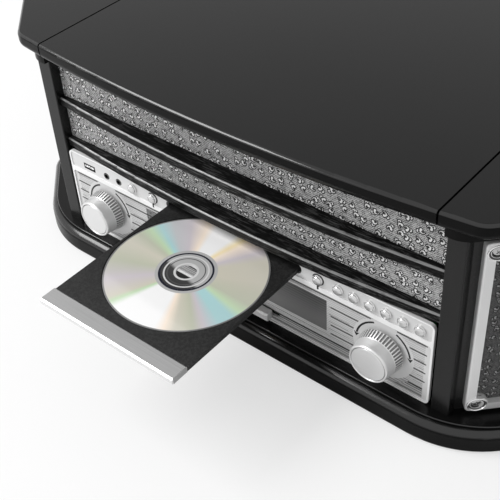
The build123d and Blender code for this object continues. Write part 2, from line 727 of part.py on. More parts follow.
with BuildPart() as disc:
    with BuildSketch(level(TRAY_TOP - 1.6)):
        with Locations((0, FRONT + DISC_Y)):
            Circle(DISC_R)
            Circle(7.5, mode=Mode.SUBTRACT)
    extrude(amount=1.2)
save(disc.part, "disc")


def involute(radius, base):
    """Angle swept by an involute between its base circle and a radius."""
    swing = math.acos(base / radius)
    return math.tan(swing) - swing


def gear_outline(teeth, module, turn):
    """Points round a spur gear, with a tooth centred at the angle turn."""
    pitch_r = teeth * module / 2
    base = pitch_r * math.cos(PRESSURE)
    half_tooth = (math.pi / 2 - BACKLASH / module) / teeth
    radii = [base + 0.01, pitch_r * 0.97, pitch_r, pitch_r + module / 2, pitch_r + module]
    points = []
    for tooth in range(teeth):
        middle = turn + 2 * math.pi * tooth / teeth
        spread = [half_tooth + involute(pitch_r, base) - involute(r, base) for r in radii]
        foot = [(pitch_r - 1.25 * module, middle - spread[0] - 0.02)]
        rise = [(r, middle - s) for r, s in zip(radii, spread)]
        fall = [(r, middle + s) for r, s in zip(reversed(radii), reversed(spread))]
        heel = [(pitch_r - 1.25 * module, middle + spread[0] + 0.02)]
        points += foot + rise + fall + heel
    return [(r * math.cos(a), r * math.sin(a)) for r, a in points]


with BuildPart() as loader_pinion:
    with BuildSketch(Plane((PINION_X, FRONT + PINION_Y, TRAY_BOTTOM + 0.2))):
        with BuildLine():
            Polyline(*gear_outline(PINION_TEETH, MODULE, 0), close=True)
        make_face()
        Circle(1.5 + RUNNING / 2, mode=Mode.SUBTRACT)
    extrude(amount=1.6)
save(loader_pinion.part, "loader_pinion")

# Loader chassis: base, side guides, clamp bridge, hub, legs and the pinion's axle
CLAMP_Y = FRONT + DISC_Y + TRAY_TRAVEL
with BuildPart() as loader_chassis:
    with BuildSketch(level(78)):
        with Locations((-2, FRONT + 94)):
            Rectangle(156, 164)
            Rectangle(90, 110, mode=Mode.SUBTRACT)
        with Locations((0, CLAMP_Y)):
            Rectangle(40, 110)
    extrude(amount=2)
    with BuildSketch(level(80)):
        with Locations((66, FRONT + 94), (-69, FRONT + 94)):
            Rectangle(20, 164)
    extrude(amount=TRAY_BOTTOM - 0.1 - 80)
    with BuildSketch(level(TRAY_BOTTOM - 0.1)):
        with Locations((65, FRONT + 94)):
            Rectangle(4, 164)
        with Locations((-65, FRONT + 107)):
            Rectangle(4, 138)
    extrude(amount=6.9)
    with BuildSketch(level(92)):
        with Locations((-65, CLAMP_Y), (65, CLAMP_Y)):
            Rectangle(4, 24)
    extrude(amount=6)
    with BuildSketch(level(96.5)):
        with Locations((0, CLAMP_Y)):
            Rectangle(134, 24)
            Circle(5, mode=Mode.SUBTRACT)
    extrude(amount=2)
    with BuildSketch(level(80)):
        with Locations((0, CLAMP_Y)):
            Circle(15)
    extrude(amount=5.8)
    with BuildSketch(level(FLOOR_TOP)):
        with Locations((70, FRONT + 24), (-74, FRONT + 24), (70, FRONT + 164), (-74, FRONT + 164)):
            Circle(5)
    extrude(amount=78 - FLOOR_TOP)
    with BuildSketch(level(80)):
        with Locations((PINION_X, FRONT + PINION_Y)):
            Circle(1.5)
    extrude(amount=9)
save(loader_chassis.part, "loader_chassis")

with BuildPart() as disc_clamp:
    with BuildSketch(level(92.4)):
        with Locations((0, CLAMP_Y)):
            Circle(15)
    extrude(amount=3.2)
    with BuildSketch(level(95)):
        with Locations((0, CLAMP_Y)):
            Circle(4.4)
    extrude(amount=4)
    with BuildSketch(level(98.5)):
        with Locations((0, CLAMP_Y)):
            Circle(8)
    extrude(amount=1.4)
save(disc_clamp.part, "disc_clamp")

# Electronics on the bottom board
with BuildPart() as main_board:
    with BuildSketch(level(FLOOR_TOP)):
        with Locations((-60, 60)):
            with GridLocations(150, 70, 2, 2):
                Circle(3)
    extrude(amount=5)
    with BuildSketch(level(FLOOR_TOP + 5)):
        with Locations((-60, 60)):
            Rectangle(170, 90)
    extrude(amount=1.6)
    with BuildSketch(level(FLOOR_TOP + 6.6)):
        with Locations((-110, 70)):
            Rectangle(30, 46)
        with Locations((-30, 60), (-20, 80)):
            Circle(8)
    extrude(amount=22)
save(main_board.part, "main_board")

with BuildPart() as power_transformer:
    with BuildSketch(level(FLOOR_TOP)):
        with Locations((115, 90)):
            Rectangle(66, 22)
    extrude(amount=2)
    with BuildSketch(level(FLOOR_TOP + 2)):
        with Locations((115, 90)):
            Rectangle(48, 20)
    extrude(amount=38)
    with BuildSketch(Plane.XZ.offset(-90 - 19)):
        with Locations((115, FLOOR_TOP + 21)):
            RectangleRounded(32, 26, 5)
    extrude(amount=38)
save(power_transformer.part, "power_transformer")

SPEED_X = PIVOT_X - 8
SPEED_Y = FRONT + 34

# Turntable deck: plate with a raised wall all round, and the platter's spindle
with BuildPart() as deck_plate:
    with BuildSketch(level(DECK_TOP - 3)):
        deck_y0 = FRONT + 14.4
        deck_y1 = REAR - 6.4
        with Locations((0, (deck_y0 + deck_y1) / 2)):
            Rectangle(2 * BAY_HALF - 0.8, deck_y1 - deck_y0)
        with Locations(MOTOR_AT):
            Circle(8, mode=Mode.SUBTRACT)
        with Locations((SPEED_X, SPEED_Y + 4)):
            SlotOverall(18, 3.2, rotation=90, mode=Mode.SUBTRACT)
    extrude(amount=3)
    with BuildSketch(level(DECK_TOP)):
        with Locations((0, (deck_y0 + deck_y1) / 2)):
            Rectangle(2 * BAY_HALF - 0.8, deck_y1 - deck_y0)
            RectangleRounded(2 * BAY_HALF - 5.6, deck_y1 - deck_y0 - 4.8, 8, mode=Mode.SUBTRACT)
    extrude(amount=RIM_TOP - 0.3 - DECK_TOP)
    with BuildSketch(level(DECK_TOP)):
        with Locations((PLATTER_X, PLATTER_Y)):
            Circle(12)
    extrude(amount=2.2)
    with BuildSketch(level(DECK_TOP)):
        with Locations((PLATTER_X, PLATTER_Y)):
            Circle(SPINDLE_R + 0.2)
    extrude(amount=12.9)
    with BuildSketch(level(DECK_TOP + 12.9)):
        with Locations((PLATTER_X, PLATTER_Y)):
            Circle(SPINDLE_R)
    extrude(amount=11.1)
    fillet(deck_plate.faces().sort_by(Axis.Z)[-1].edges(), 1)
save(deck_plate.part, "deck_plate")

with BuildPart() as platter:
    with BuildSketch(level(DECK_TOP + 7.5)):
        with Locations((PLATTER_X, PLATTER_Y)):
            Circle(PLATTER_R)
    extrude(amount=3)
    with BuildSketch(level(DECK_TOP + 2.5)):
        with Locations((PLATTER_X, PLATTER_Y)):
            Circle(PLATTER_R)
            Circle(PLATTER_R - 4, mode=Mode.SUBTRACT)
            Circle(DRIVE_RING_R)
            Circle(DRIVE_RING_R - 3, mode=Mode.SUBTRACT)
            Circle(11)
    extrude(amount=5)
    with BuildSketch(level(DECK_TOP + 2.5)):
        with Locations((PLATTER_X, PLATTER_Y)):
            Circle(SPINDLE_R + 0.2 + RUNNING / 2)
    extrude(amount=10, mode=Mode.SUBTRACT)
    fillet(platter.faces().sort_by(Axis.Z)[-1].outer_wire().edges(), 1.2)
save(platter.part, "platter")

with BuildPart() as platter_mat:
    with BuildSketch(level(DECK_TOP + 10.5)):
        with Locations((PLATTER_X, PLATTER_Y)):
            Circle(PLATTER_R - 2)
            Circle(4.2, mode=Mode.SUBTRACT)
    extrude(amount=2.4)
    with BuildSketch(level(DECK_TOP + 12.9)):
        with Locations((PLATTER_X, PLATTER_Y)):
            for ring in range(6):
                Circle(60 + ring * 14)
                Circle(58.5 + ring * 14, mode=Mode.SUBTRACT)
            Circle(50.5)
    extrude(amount=-0.6, mode=Mode.SUBTRACT)
save(platter_mat.part, "platter_mat")

with BuildPart() as platter_motor:
    with BuildSketch(level(DECK_TOP - 3)):
        with Locations(MOTOR_AT):
            Circle(17)
            Circle(8, mode=Mode.SUBTRACT)
    extrude(amount=-3)
    with BuildSketch(level(DECK_TOP - 6)):
        with Locations(MOTOR_AT):
            Circle(17)
    extrude(amount=-26)
    with BuildSketch(level(DECK_TOP - 6)):
        with Locations(MOTOR_AT):
            Circle(1)
    extrude(amount=11)
save(platter_motor.part, "platter_motor")

with BuildPart() as motor_pulley:
    with BuildSketch(level(DECK_TOP + 0.6)):
        with Locations(MOTOR_AT):
            Circle(PULLEY_R)
            Circle(1 + RUNNING / 2, mode=Mode.SUBTRACT)
    extrude(amount=5.6)
save(motor_pulley.part, "motor_pulley")

# Flat belt: two tangent runs between the drive ring and the pulley
span = MOTOR_OFFSET * math.sqrt(2)
lean = math.asin((DRIVE_RING_R - PULLEY_R) / span)


def belt_outline(grow):
    """Belt path in plan at a distance outside the ring and the pulley, as a face."""
    big = DRIVE_RING_R + grow
    small = PULLEY_R + grow
    toward = math.radians(135)
    first = toward + math.pi / 2 - lean
    second = toward - math.pi / 2 + lean
    far = MOTOR_AT

    def on(centre, radius, angle):
        return (centre[0] + radius * math.cos(angle), centre[1] + radius * math.sin(angle))

    ring = (PLATTER_X, PLATTER_Y)
    with BuildSketch() as face:
        with BuildLine():
            Line(on(ring, big, first), on(far, small, first))
            ThreePointArc(on(far, small, first), on(far, small, toward), on(far, small, second))
            Line(on(far, small, second), on(ring, big, second))
            ThreePointArc(on(ring, big, second), on(ring, big, toward + math.pi), on(ring, big, first))
        make_face()
    return face.sketch


with BuildPart() as drive_belt:
    with BuildSketch(level(DECK_TOP + 3)):
        add(belt_outline(1.0))
        add(belt_outline(0.1), mode=Mode.SUBTRACT)
    extrude(amount=2.6)
save(drive_belt.part, "drive_belt")

# Tonearm: base, arm with headshell and cartridge, rest, clip and cue lever
with BuildPart() as tonearm_base:
    with BuildSketch(level(DECK_TOP)):
        with Locations((PIVOT_X, PIVOT_Y)):
            Circle(19)
    extrude(amount=8)
    fillet(tonearm_base.faces().sort_by(Axis.Z)[-1].edges(), 2)
    with BuildSketch(level(DECK_TOP + 8)):
        with Locations((PIVOT_X, PIVOT_Y)):
            Circle(4)
    extrude(amount=5)
save(tonearm_base.part, "tonearm_base")

# Arm rest: shelf with a wall on its outer side, and the lugs and pin of the clip
CLIP_X = PIVOT_X + 8.8
with BuildPart() as arm_rest:
    with BuildSketch(level(DECK_TOP)):
        with Locations((PIVOT_X + 1, REST_Y)):
            RectangleRounded(20, 14, 3)
    extrude(amount=3)
    with BuildSketch(level(DECK_TOP + 3)):
        with Locations((PIVOT_X + 2.7, REST_Y)):
            Rectangle(16.6, 9)
    extrude(amount=ARM_Z - 4.3 - DECK_TOP - 3)
    with BuildSketch(level(ARM_Z - 4.3)):
        with Locations((PIVOT_X + 5.6, REST_Y)):
            Rectangle(1.6, 9)
    extrude(amount=8)
    with BuildSketch(level(ARM_Z - 4.3)):
        with Locations((CLIP_X, REST_Y - 3.5), (CLIP_X, REST_Y + 3.5)):
            Rectangle(4.4, 2)
    extrude(amount=12.8)
    with BuildSketch(Plane.XZ.offset(-REST_Y - 4.5)):
        with Locations((CLIP_X, CLIP_Z)):
            Circle(1.2)
    extrude(amount=9)

with BuildPart() as tonearm_yoke:
    with BuildSketch(level(DECK_TOP + 8.3)):
        with Locations((PIVOT_X, PIVOT_Y)):
            Circle(12)
            Circle(4 + RUNNING / 2, mode=Mode.SUBTRACT)
    extrude(amount=4)
    with BuildSketch(level(DECK_TOP + 13.1)):
        with Locations((PIVOT_X, PIVOT_Y)):
            Circle(12)
    extrude(amount=1.6)
    with BuildSketch(level(DECK_TOP + 12.3)):
        with Locations((PIVOT_X, PIVOT_Y)):
            Circle(12)
            Circle(4.6, mode=Mode.SUBTRACT)
    extrude(amount=1)
    with BuildSketch(level(DECK_TOP + 14.7)):
        with Locations((PIVOT_X - 9.5, PIVOT_Y), (PIVOT_X + 9.5, PIVOT_Y)):
            Rectangle(3, 10)
    extrude(amount=13)
    with BuildSketch(Plane.YZ.offset(PIVOT_X - 11)):
        with Locations((PIVOT_Y, ARM_Z)):
            Circle(1.5)
    extrude(amount=22)
save(tonearm_yoke.part, "tonearm_yoke")

HEAD_Y = PIVOT_Y - ARM_LEN
with BuildPart() as tonearm:
    with BuildSketch(Plane.XZ.offset(-PIVOT_Y - 28)):
        with Locations((PIVOT_X, ARM_Z)):
            Circle(4)
    extrude(amount=ARM_LEN + 8)
    with BuildSketch(Plane.XZ.offset(-PIVOT_Y - 28)):
        with Locations((PIVOT_X, ARM_Z)):
            Circle(8)
    extrude(amount=14)
    with BuildSketch(Plane.XZ.offset(-PIVOT_Y - 8)):
        with Locations((PIVOT_X, ARM_Z)):
            RectangleRounded(14, 10, 2)
    extrude(amount=16)
    with BuildSketch(level(ARM_Z - 2)):
        with BuildLine():
            Polyline((PIVOT_X - 4.5, HEAD_Y + 26), (PIVOT_X - 8, HEAD_Y + 16),
                     (PIVOT_X - 8, HEAD_Y - 8), (PIVOT_X - 5, HEAD_Y - 13),
                     (PIVOT_X + 5, HEAD_Y - 13), (PIVOT_X + 8, HEAD_Y - 8),
                     (PIVOT_X + 8, HEAD_Y + 16), (PIVOT_X + 4.5, HEAD_Y + 26), close=True)
        make_face()
    extrude(amount=5)
    with BuildSketch(level(ARM_Z - 7)):
        with Locations((PIVOT_X, HEAD_Y + 2)):
            Rectangle(11, 20)
    extrude(amount=5)
    with BuildSketch(Plane.YZ.offset(PIVOT_X - 7.6)):
        with Locations((PIVOT_Y, ARM_Z)):
            Circle(1.5 + RUNNING / 2)
    extrude(amount=15.2, mode=Mode.SUBTRACT)
save(tonearm.part, "tonearm")

# The clip turns on the rest's pin and swings over the arm
with BuildPart() as arm_clip:
    with BuildSketch(Plane.XZ.offset(-REST_Y - 2.2)):
        with Locations((CLIP_X, CLIP_Z + 5.4)):
            SlotOverall(15.2, 4, rotation=90)
        with Locations((CLIP_X, CLIP_Z)):
            Circle(1.2 + RUNNING / 2, mode=Mode.SUBTRACT)
    extrude(amount=4.4)
save(arm_clip.part, "arm_clip")

CUE_X = PIVOT_X + 14
CUE_Y = PIVOT_Y - 34
with BuildPart() as cue_lever:
    with BuildSketch(Plane.XZ.offset(-CUE_Y - 3)):
        with BuildLine():
            Polyline((CUE_X - 2, DECK_TOP + 3), (CUE_X + 2, DECK_TOP + 3), (CUE_X + 2, DECK_TOP + 9),
                     (CUE_X - 2, DECK_TOP + 9), close=True)
        make_face()
    extrude(amount=6)
    with BuildSketch(Plane.YZ.offset(CUE_X - 2)):
        with BuildLine():
            Polyline((CUE_Y - 3, DECK_TOP + 4), (CUE_Y - 30, DECK_TOP + 12), (CUE_Y - 31, DECK_TOP + 15),
                     (CUE_Y - 2, DECK_TOP + 9), close=True)
        make_face()
    extrude(amount=4)
    with BuildSketch(Plane.YZ.offset(CUE_X - 3)):
        with Locations((CUE_Y, DECK_TOP + 6)):
            Circle(1.25)
    extrude(amount=6, mode=Mode.SUBTRACT)
save(cue_lever.part, "cue_lever")

with BuildPart() as cue_bracket:
    with BuildSketch(level(DECK_TOP)):
        with Locations((CUE_X - 4.3, CUE_Y), (CUE_X + 4.3, CUE_Y)):
            Rectangle(3, 7)
    extrude(amount=9)
    with BuildSketch(Plane.YZ.offset(CUE_X - 5)):
        with Locations((CUE_Y, DECK_TOP + 6)):
            Circle(1.2)
    extrude(amount=10)
with BuildPart() as deck_brackets:
    add(arm_rest.part)
    add(cue_bracket.part)
save(deck_brackets.part, "deck_brackets")

with BuildPart() as speed_switch:
    with BuildSketch(level(DECK_TOP)):
        with Locations((SPEED_X, SPEED_Y)):
            RectangleRounded(9, 7, 1.5)
    extrude(amount=5)
    fillet(speed_switch.faces().sort_by(Axis.Z)[-1].edges(), 0.8)
    with BuildSketch(level(DECK_TOP - 5)):
        with Locations((SPEED_X, SPEED_Y)):
            Rectangle(2.8, 5)
    extrude(amount=5)
save(speed_switch.part, "speed_switch")

# Lid hinges on the outside of the back: knuckled leaves, the pin fixed in the lower ones
HINGE_XS = (-110.0, 110.0)
HINGE_Y = REAR + 7.5
HINGE_Z = RIM_TOP + 1.0
KNUCKLE_R = 3.0
HINGE_PIN_R = 1.5
HINGE_HALF = 20.0
MIDDLE_HALF = 6.0         # half the length of the lid's knuckle, with its clearance
LEAF_T = 1.8
with BuildPart() as hinge_base_leaves:
    for hinge_x in HINGE_XS:
        for start in (hinge_x - HINGE_HALF, hinge_x + MIDDLE_HALF):
            with BuildSketch(Plane.YZ.offset(start)):
                with Locations((HINGE_Y, HINGE_Z)):
                    Circle(KNUCKLE_R)
                with Locations((REAR + LEAF_T / 2, HINGE_Z - 16)):
                    Rectangle(LEAF_T, 28)
                with BuildLine():
                    Polyline((REAR, HINGE_Z - 3), (REAR, HINGE_Z - 6), (HINGE_Y + 2, HINGE_Z - 2),
                             (HINGE_Y - 2, HINGE_Z - 1), close=True)
                make_face()
            extrude(amount=HINGE_HALF - MIDDLE_HALF)
        with BuildSketch(Plane.YZ.offset(hinge_x - HINGE_HALF)):
            with Locations((HINGE_Y, HINGE_Z)):
                Circle(HINGE_PIN_R)
            with Locations((REAR + LEAF_T / 2, HINGE_Z - 20)):
                Rectangle(LEAF_T, 20)
        extrude(amount=2 * HINGE_HALF)
save(hinge_base_leaves.part, "hinge_base_leaves")

with BuildPart() as hinge_lid_leaves:
    for hinge_x in HINGE_XS:
        with BuildSketch(Plane.YZ.offset(hinge_x - MIDDLE_HALF + 0.2)):
            with Locations((HINGE_Y, HINGE_Z)):
                Circle(KNUCKLE_R)
            with BuildLine():
                Polyline((REAR + 4, HINGE_Z + 2), (REAR + 4, HINGE_Z + 11),
                         (REAR + 4 + LEAF_T, HINGE_Z + 11), (HINGE_Y + 2, HINGE_Z + 1), close=True)
            make_face()
            with Locations((HINGE_Y, HINGE_Z)):
                Circle(HINGE_PIN_R + RUNNING / 2, mode=Mode.SUBTRACT)
        extrude(amount=2 * MIDDLE_HALF - 0.4)
save(hinge_lid_leaves.part, "hinge_lid_leaves")
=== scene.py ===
import json
import math

import bpy
from bpy.props import FloatProperty, FloatVectorProperty, IntProperty, PointerProperty
from mathutils import Matrix, Vector


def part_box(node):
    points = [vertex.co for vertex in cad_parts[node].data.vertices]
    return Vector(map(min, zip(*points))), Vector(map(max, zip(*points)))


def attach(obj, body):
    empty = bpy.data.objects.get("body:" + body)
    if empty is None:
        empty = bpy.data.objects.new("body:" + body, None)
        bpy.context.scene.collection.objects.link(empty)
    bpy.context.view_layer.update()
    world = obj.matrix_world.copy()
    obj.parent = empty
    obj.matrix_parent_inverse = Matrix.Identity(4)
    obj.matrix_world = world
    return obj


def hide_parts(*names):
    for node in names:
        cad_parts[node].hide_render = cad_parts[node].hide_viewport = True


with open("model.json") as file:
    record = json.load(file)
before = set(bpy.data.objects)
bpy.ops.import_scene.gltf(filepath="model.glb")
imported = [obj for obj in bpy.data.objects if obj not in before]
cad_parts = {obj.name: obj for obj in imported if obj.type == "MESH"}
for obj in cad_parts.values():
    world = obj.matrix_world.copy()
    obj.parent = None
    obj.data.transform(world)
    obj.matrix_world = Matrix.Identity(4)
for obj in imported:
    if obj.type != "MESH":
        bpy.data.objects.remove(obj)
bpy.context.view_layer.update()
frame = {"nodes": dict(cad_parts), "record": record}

bl_info = {
    "name": "Turntable music system",
    "version": (1, 0, 0),
    "blender": (4, 5, 0),
    "location": "View3D > Sidebar > Music system",
    "description": "Finishes and fine pieces of a wooden music system with a disc tray",
    "category": "Object",
}

NODES = frame["nodes"]
MM = 0.001


def middle(node):
    """Centre of a CAD node's box."""
    low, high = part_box(node)
    return (low + high) / 2


def grey(level):
    """Linear value of an 8 bit grey, as a colour."""
    value = level / 255
    linear = value / 12.92 if value <= 0.04045 else ((value + 0.055) / 1.055) ** 2.4
    return (linear, linear, linear)


# The places that the fine pieces follow, read from the frame: the fascia's rim, the sunk field
# behind it and the button strip above the field each have their own front face
FASCIA_LOW, FASCIA_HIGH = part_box("control_fascia")
FACE_Y = FASCIA_LOW.y
FIELD_Y = FACE_Y + 1.0 * MM
STRIP_Y = FACE_Y + 0.7 * MM
WINDOW_LOW, WINDOW_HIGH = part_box("display_lens")
DISC_MIDDLE = middle("disc")
PRESETS = ["preset_button_" + str(number) for number in range(1, 7)]
RINGED = ["power_button", "eject_button"]
KNOBS = (("volume_knob", "volume"), ("tuning_knob", "tuning"))
BODY_OF = {node: body for body, held in frame["record"]["behaviour"]["bodies"].items()
           for node in held}
DIAGONAL = math.sqrt(0.5)

# The plain circle round each knob, and the knob's ribbed grip: how far it starts and ends in front
# of the knob's back, and how far inside the widest radius it is there
KNOB_CLEAR = 25.2 * MM
GRIP_BACK, GRIP_FRONT = 2.3 * MM, 9.3 * MM
GRIP_BACK_INSIDE, GRIP_FRONT_INSIDE = 0.15 * MM, 1.7 * MM


# Shader maths
class Link:
    """A socket of a material's node tree. Arithmetic on it adds Math nodes to that tree."""

    def __init__(self, tree, socket=None):
        self.tree = tree
        self.socket = socket

    def node(self, kind, settings=None, sockets=None, out=0):
        """Adds a node of that type with its settings, fills its sockets and returns an output."""
        added = self.tree.nodes.new("ShaderNode" + kind)
        for name, value in (settings or {}).items():
            if name == "stops":
                ramp = added.color_ramp
                while len(ramp.elements) < len(value):
                    ramp.elements.new(0.5)
                for element, (place, colour) in zip(ramp.elements, value):
                    element.position = place
                    element.color = (*colour, 1.0)
            else:
                setattr(added, name, value)
        for name, value in (sockets or {}).items():
            if isinstance(value, Link):
                self.tree.links.new(value.socket, added.inputs[name])
            else:
                added.inputs[name].default_value = value
        return Link(self.tree, added.outputs[out])

    def maths(self, operation, *values):
        """A Math node of that operation, with the values in its sockets."""
        return self.node("Math", {"operation": operation}, dict(enumerate(values)))

    def __add__(self, other):
        return self.maths("ADD", self, other)

    __radd__ = __add__

    def __sub__(self, other):
        return self.maths("SUBTRACT", self, other)

    def __rsub__(self, other):
        return self.maths("SUBTRACT", other, self)

    def __mul__(self, other):
        return self.maths("MULTIPLY", self, other)

    __rmul__ = __mul__

    def __truediv__(self, other):
        return self.maths("DIVIDE", self, other)

    def wave(self, length):
        """A sine of this value with that wavelength, from 0 to 1."""
        return self.maths("SINE", self * (2 * math.pi / length)) * 0.5 + 0.5

    def distance(self, other):
        """How far the point (this value, other) is from zero."""
        return self.maths("SQRT", self * self + other * other)

    def absolute(self):
        return self.maths("ABSOLUTE", self)

    def larger(self, other):
        return self.maths("MAXIMUM", self, other)

    def smaller(self, other):
        return self.maths("MINIMUM", self, other)

    def band(self, low, high, soft=0.0001):
        """1 between low and high and 0 outside, with soft edges."""
        half = (high - low) / 2
        return (self - (low + high) / 2).absolute().step(half + soft, half - soft)

    def step(self, low, high):
        """0 below low, 1 above high, smooth between; the other way round where low is above high."""
        first, last, ends = (low, high, (0.0, 1.0)) if low < high else (high, low, (1.0, 0.0))
        return self.node("MapRange", {"interpolation_type": "SMOOTHSTEP"},
                         {"Value": self, "From Min": first, "From Max": last,
                          "To Min": ends[0], "To Max": ends[1]})

    def mix(self, first, second):
        """Colour that goes from first to second with this value."""
        return self.node("Mix", {"data_type": "RGBA"},
                         {"Factor": self, 6: colour_socket(first), 7: colour_socket(second)}, out=2)

    def axes(self):
        """The three parts of this vector."""
        split = self.node("SeparateXYZ", None, {0: self}).socket.node
        return [Link(self.tree, output) for output in split.outputs]

    def vector(self, x, y, z):
        return self.node("CombineXYZ", None, {0: x, 1: y, 2: z})

    def stretched(self, x, y, z):
        """This place with each axis scaled, for grain that runs one way."""
        return self.node("VectorMath", {"operation": "MULTIPLY"}, {0: self, 1: (x, y, z)})

    def noise(self, scale, detail=2.0, rough=0.5):
        return self.node("TexNoise", None, {"Vector": self, "Scale": scale, "Detail": detail,
                                            "Roughness": rough})

    def bump(self, height, distance, strength=1.0):
        return self.node("Bump", None,
                         {"Height": height, "Distance": distance, "Strength": strength})


def colour_socket(colour):
    """A plain colour with its alpha, or the link as it is."""
    return colour if isinstance(colour, Link) else (*colour, 1.0)


def new_material(name, base, rough, metal=0.0, **constants):
    """A material whose plain values are set on its shader, with the shader and the place."""
    made = bpy.data.materials.new(name)
    made.use_nodes = True
    shader = made.node_tree.nodes["Principled BSDF"]
    shader.inputs["Base Color"].default_value = (*base, 1.0)
    shader.inputs["Roughness"].default_value = rough
    shader.inputs["Metallic"].default_value = metal
    for socket, value in constants.items():
        shader.inputs[socket.replace("_", " ")].default_value = value
    place = Link(made.node_tree).node("TexCoord", out="Object")
    return made, shader, place


def feed(shader, **links):
    """Joins links to the shader's sockets by name."""
    for socket, link in links.items():
        link.tree.links.new(link.socket, shader.inputs[socket.replace("_", " ")])


def polish(place, flat):
    """How far upward faces count as rounded edges: fully on rounded edges, to that share on flats; it
    places a coat, and in the black wood also a painted highlight.
    """
    x, y, z = place.node("TexCoord", out="Normal").axes()
    square_on = x.absolute().larger(y.absolute()).larger(z.absolute()).step(0.96, 0.992)
    return z.step(0.2, 0.45) * (1.0 - square_on * (1.0 - flat))


def black_wood(name, along, level, streak=80, rough=0.32, gloss=0.06):
    """Black stained ash: broken pale fibres along one axis; its upward rounded edges get a coat and a
    painted highlight, pale grey in their colour.
    """
    made, shader, place = new_material(name, grey(level), rough, Specular_IOR_Level=gloss,
                                       Coat_Roughness=0.16)
    drift = place.noise(14.0, 2.0) * 0.006
    wavy = place.node("VectorMath", {"operation": "ADD"},
                      {0: place, 1: place.vector(drift, drift, drift)})
    grain = {"x": (26, 300, 300), "y": (300, 26, 300)}[along]
    run = wavy.stretched(*grain)
    fibres = run.noise(3.4, 4.0, 0.6).step(0.5, 0.63)
    bands = run.noise(0.4, 2.0).step(0.4, 0.62)
    marks = fibres * (bands * 0.8 + 0.2)
    edge_gloss_and_highlight = polish(place, 0.0)
    # Upward rounded edges painted pale grey: a painted highlight; the same mask gives them their coat.
    tone_with_painted_highlight = edge_gloss_and_highlight.mix(grey(level), grey(134))
    feed(shader, Base_Color=marks.mix(tone_with_painted_highlight, grey(streak)), Roughness=marks * 0.25 + rough,
         Coat_Weight=edge_gloss_and_highlight, Normal=place.bump(marks, 0.0001, 0.5))
    return made


def satin_black(name, level, rough=0.24, gloss=0.06, flat=0.22):
    """Smooth black lacquer with a very fine orange peel, its upper rounded edges polished."""
    made, shader, place = new_material(name, grey(level), rough, Specular_IOR_Level=gloss,
                                       Coat_Roughness=0.16)
    clouds = place.noise(5.0, 3.0)
    peel = place.noise(420.0, 1.0)
    feed(shader, Base_Color=clouds.step(0.3, 0.7).mix(grey(level * 0.9), grey(level * 1.1)),
         Roughness=clouds * 0.06 + (rough - 0.03), Coat_Weight=polish(place, flat),
         Normal=place.bump(peel, 0.00003, 0.25))
    return made


def curls(place, across, up, cell):
    """Two curls to a cell, each a comma with a round head and a bent tail, and their dark edges."""
    flat = place.vector(across, up, 0.0)
    cells = place.node("TexVoronoi", {"voronoi_dimensions": "2D"},
                       {"Vector": flat, "Scale": 1 / cell, "Randomness": 0.62}).socket.node
    spot = Link(place.tree, cells.outputs["Position"])
    random = Link(place.tree, cells.outputs["Color"])
    from_spot = place.node("VectorMath", {"operation": "SUBTRACT"}, {0: flat, 1: spot})
    turned_by = random.axes()[0] * (2 * math.pi)
    local = place.node("VectorRotate", {"rotation_type": "Z_AXIS"},
                       {"Vector": from_spot, "Angle": turned_by})
    a, b, _ = local.axes()

    def curl(off_a, off_b, bend, thick):
        """How far a point is outside a round head on the right of an arc that thins out."""
        p, q = a - off_a, b - off_b
        wide = (p / bend).step(-1.1, 0.9) * (thick * 0.75) + thick * 0.25
        arc = ((p.distance(q) - bend).absolute() - wide).larger(q * -1.0 - 0.03 * cell)
        head = (p - bend * 0.92).distance(q + bend * 0.2) - thick * 1.5
        return arc.smaller(head)

    large = curl(-0.04 * cell, -0.06 * cell, 0.19 * cell, 0.075 * cell)
    small = curl(0.2 * cell, 0.21 * cell, 0.12 * cell, 0.045 * cell)
    outside = large.smaller(small)
    pale = outside.step(0.02 * cell, -0.02 * cell)
    return pale, outside.step(0.115 * cell, 0.075 * cell) * (1.0 - pale)


def speaker_cloth(name, settings, side=False):
    """Grey crossed twill with small pale curls, each edged in black, woven into it; the side cloths
    get a darker copy of it as painted shade.
    """
    made, shader, place = new_material(name, grey(120), 0.7, Specular_IOR_Level=0.3)
    x, y, z = place.axes()
    across = (x.absolute() + y) * DIAGONAL if side else x
    cell = settings.curl * 0.8 if side else settings.curl
    pale, dark = curls(place, across, z, cell)
    rib = (across + z).wave(settings.twill).step(0.2, 0.8)
    weft = (across - z).wave(settings.twill).step(0.2, 0.8)
    patches = place.noise(760.0, 1.0).step(0.36, 0.64)
    # The side cloths take darker greys for the same cloth, curls too: painted shade.
    low, high = (grey(3), grey(112)) if side else (grey(30), grey(216))
    ground = (rib * 0.33 + weft * 0.33 + patches * 0.34).mix(low, high)
    threads = dark.mix(ground, grey(8))
    top = grey(152) if side else grey(240)
    height = rib * 0.3 + weft * 0.3 + pale * 0.9 - dark * 0.5
    feed(shader, Base_Color=(pale * 0.95).mix(threads, top), Roughness=0.74 - pale * 0.3,
         Normal=place.bump(height, 0.0002, 0.6))
    return made


def silver(name, level, rough=0.34, metal=0.35):
    """Silver lacquer on moulded plastic, with faint clouding."""
    made, shader, place = new_material(name, grey(level), rough, metal)
    clouds = place.noise(12.0, 3.0)
    feed(shader, Base_Color=clouds.step(0.3, 0.7).mix(grey(level - 4), grey(level + 4)),
         Roughness=clouds * 0.08 + (rough - 0.04), Normal=place.bump(place.noise(700.0), 0.00001, 0.2))
    return made


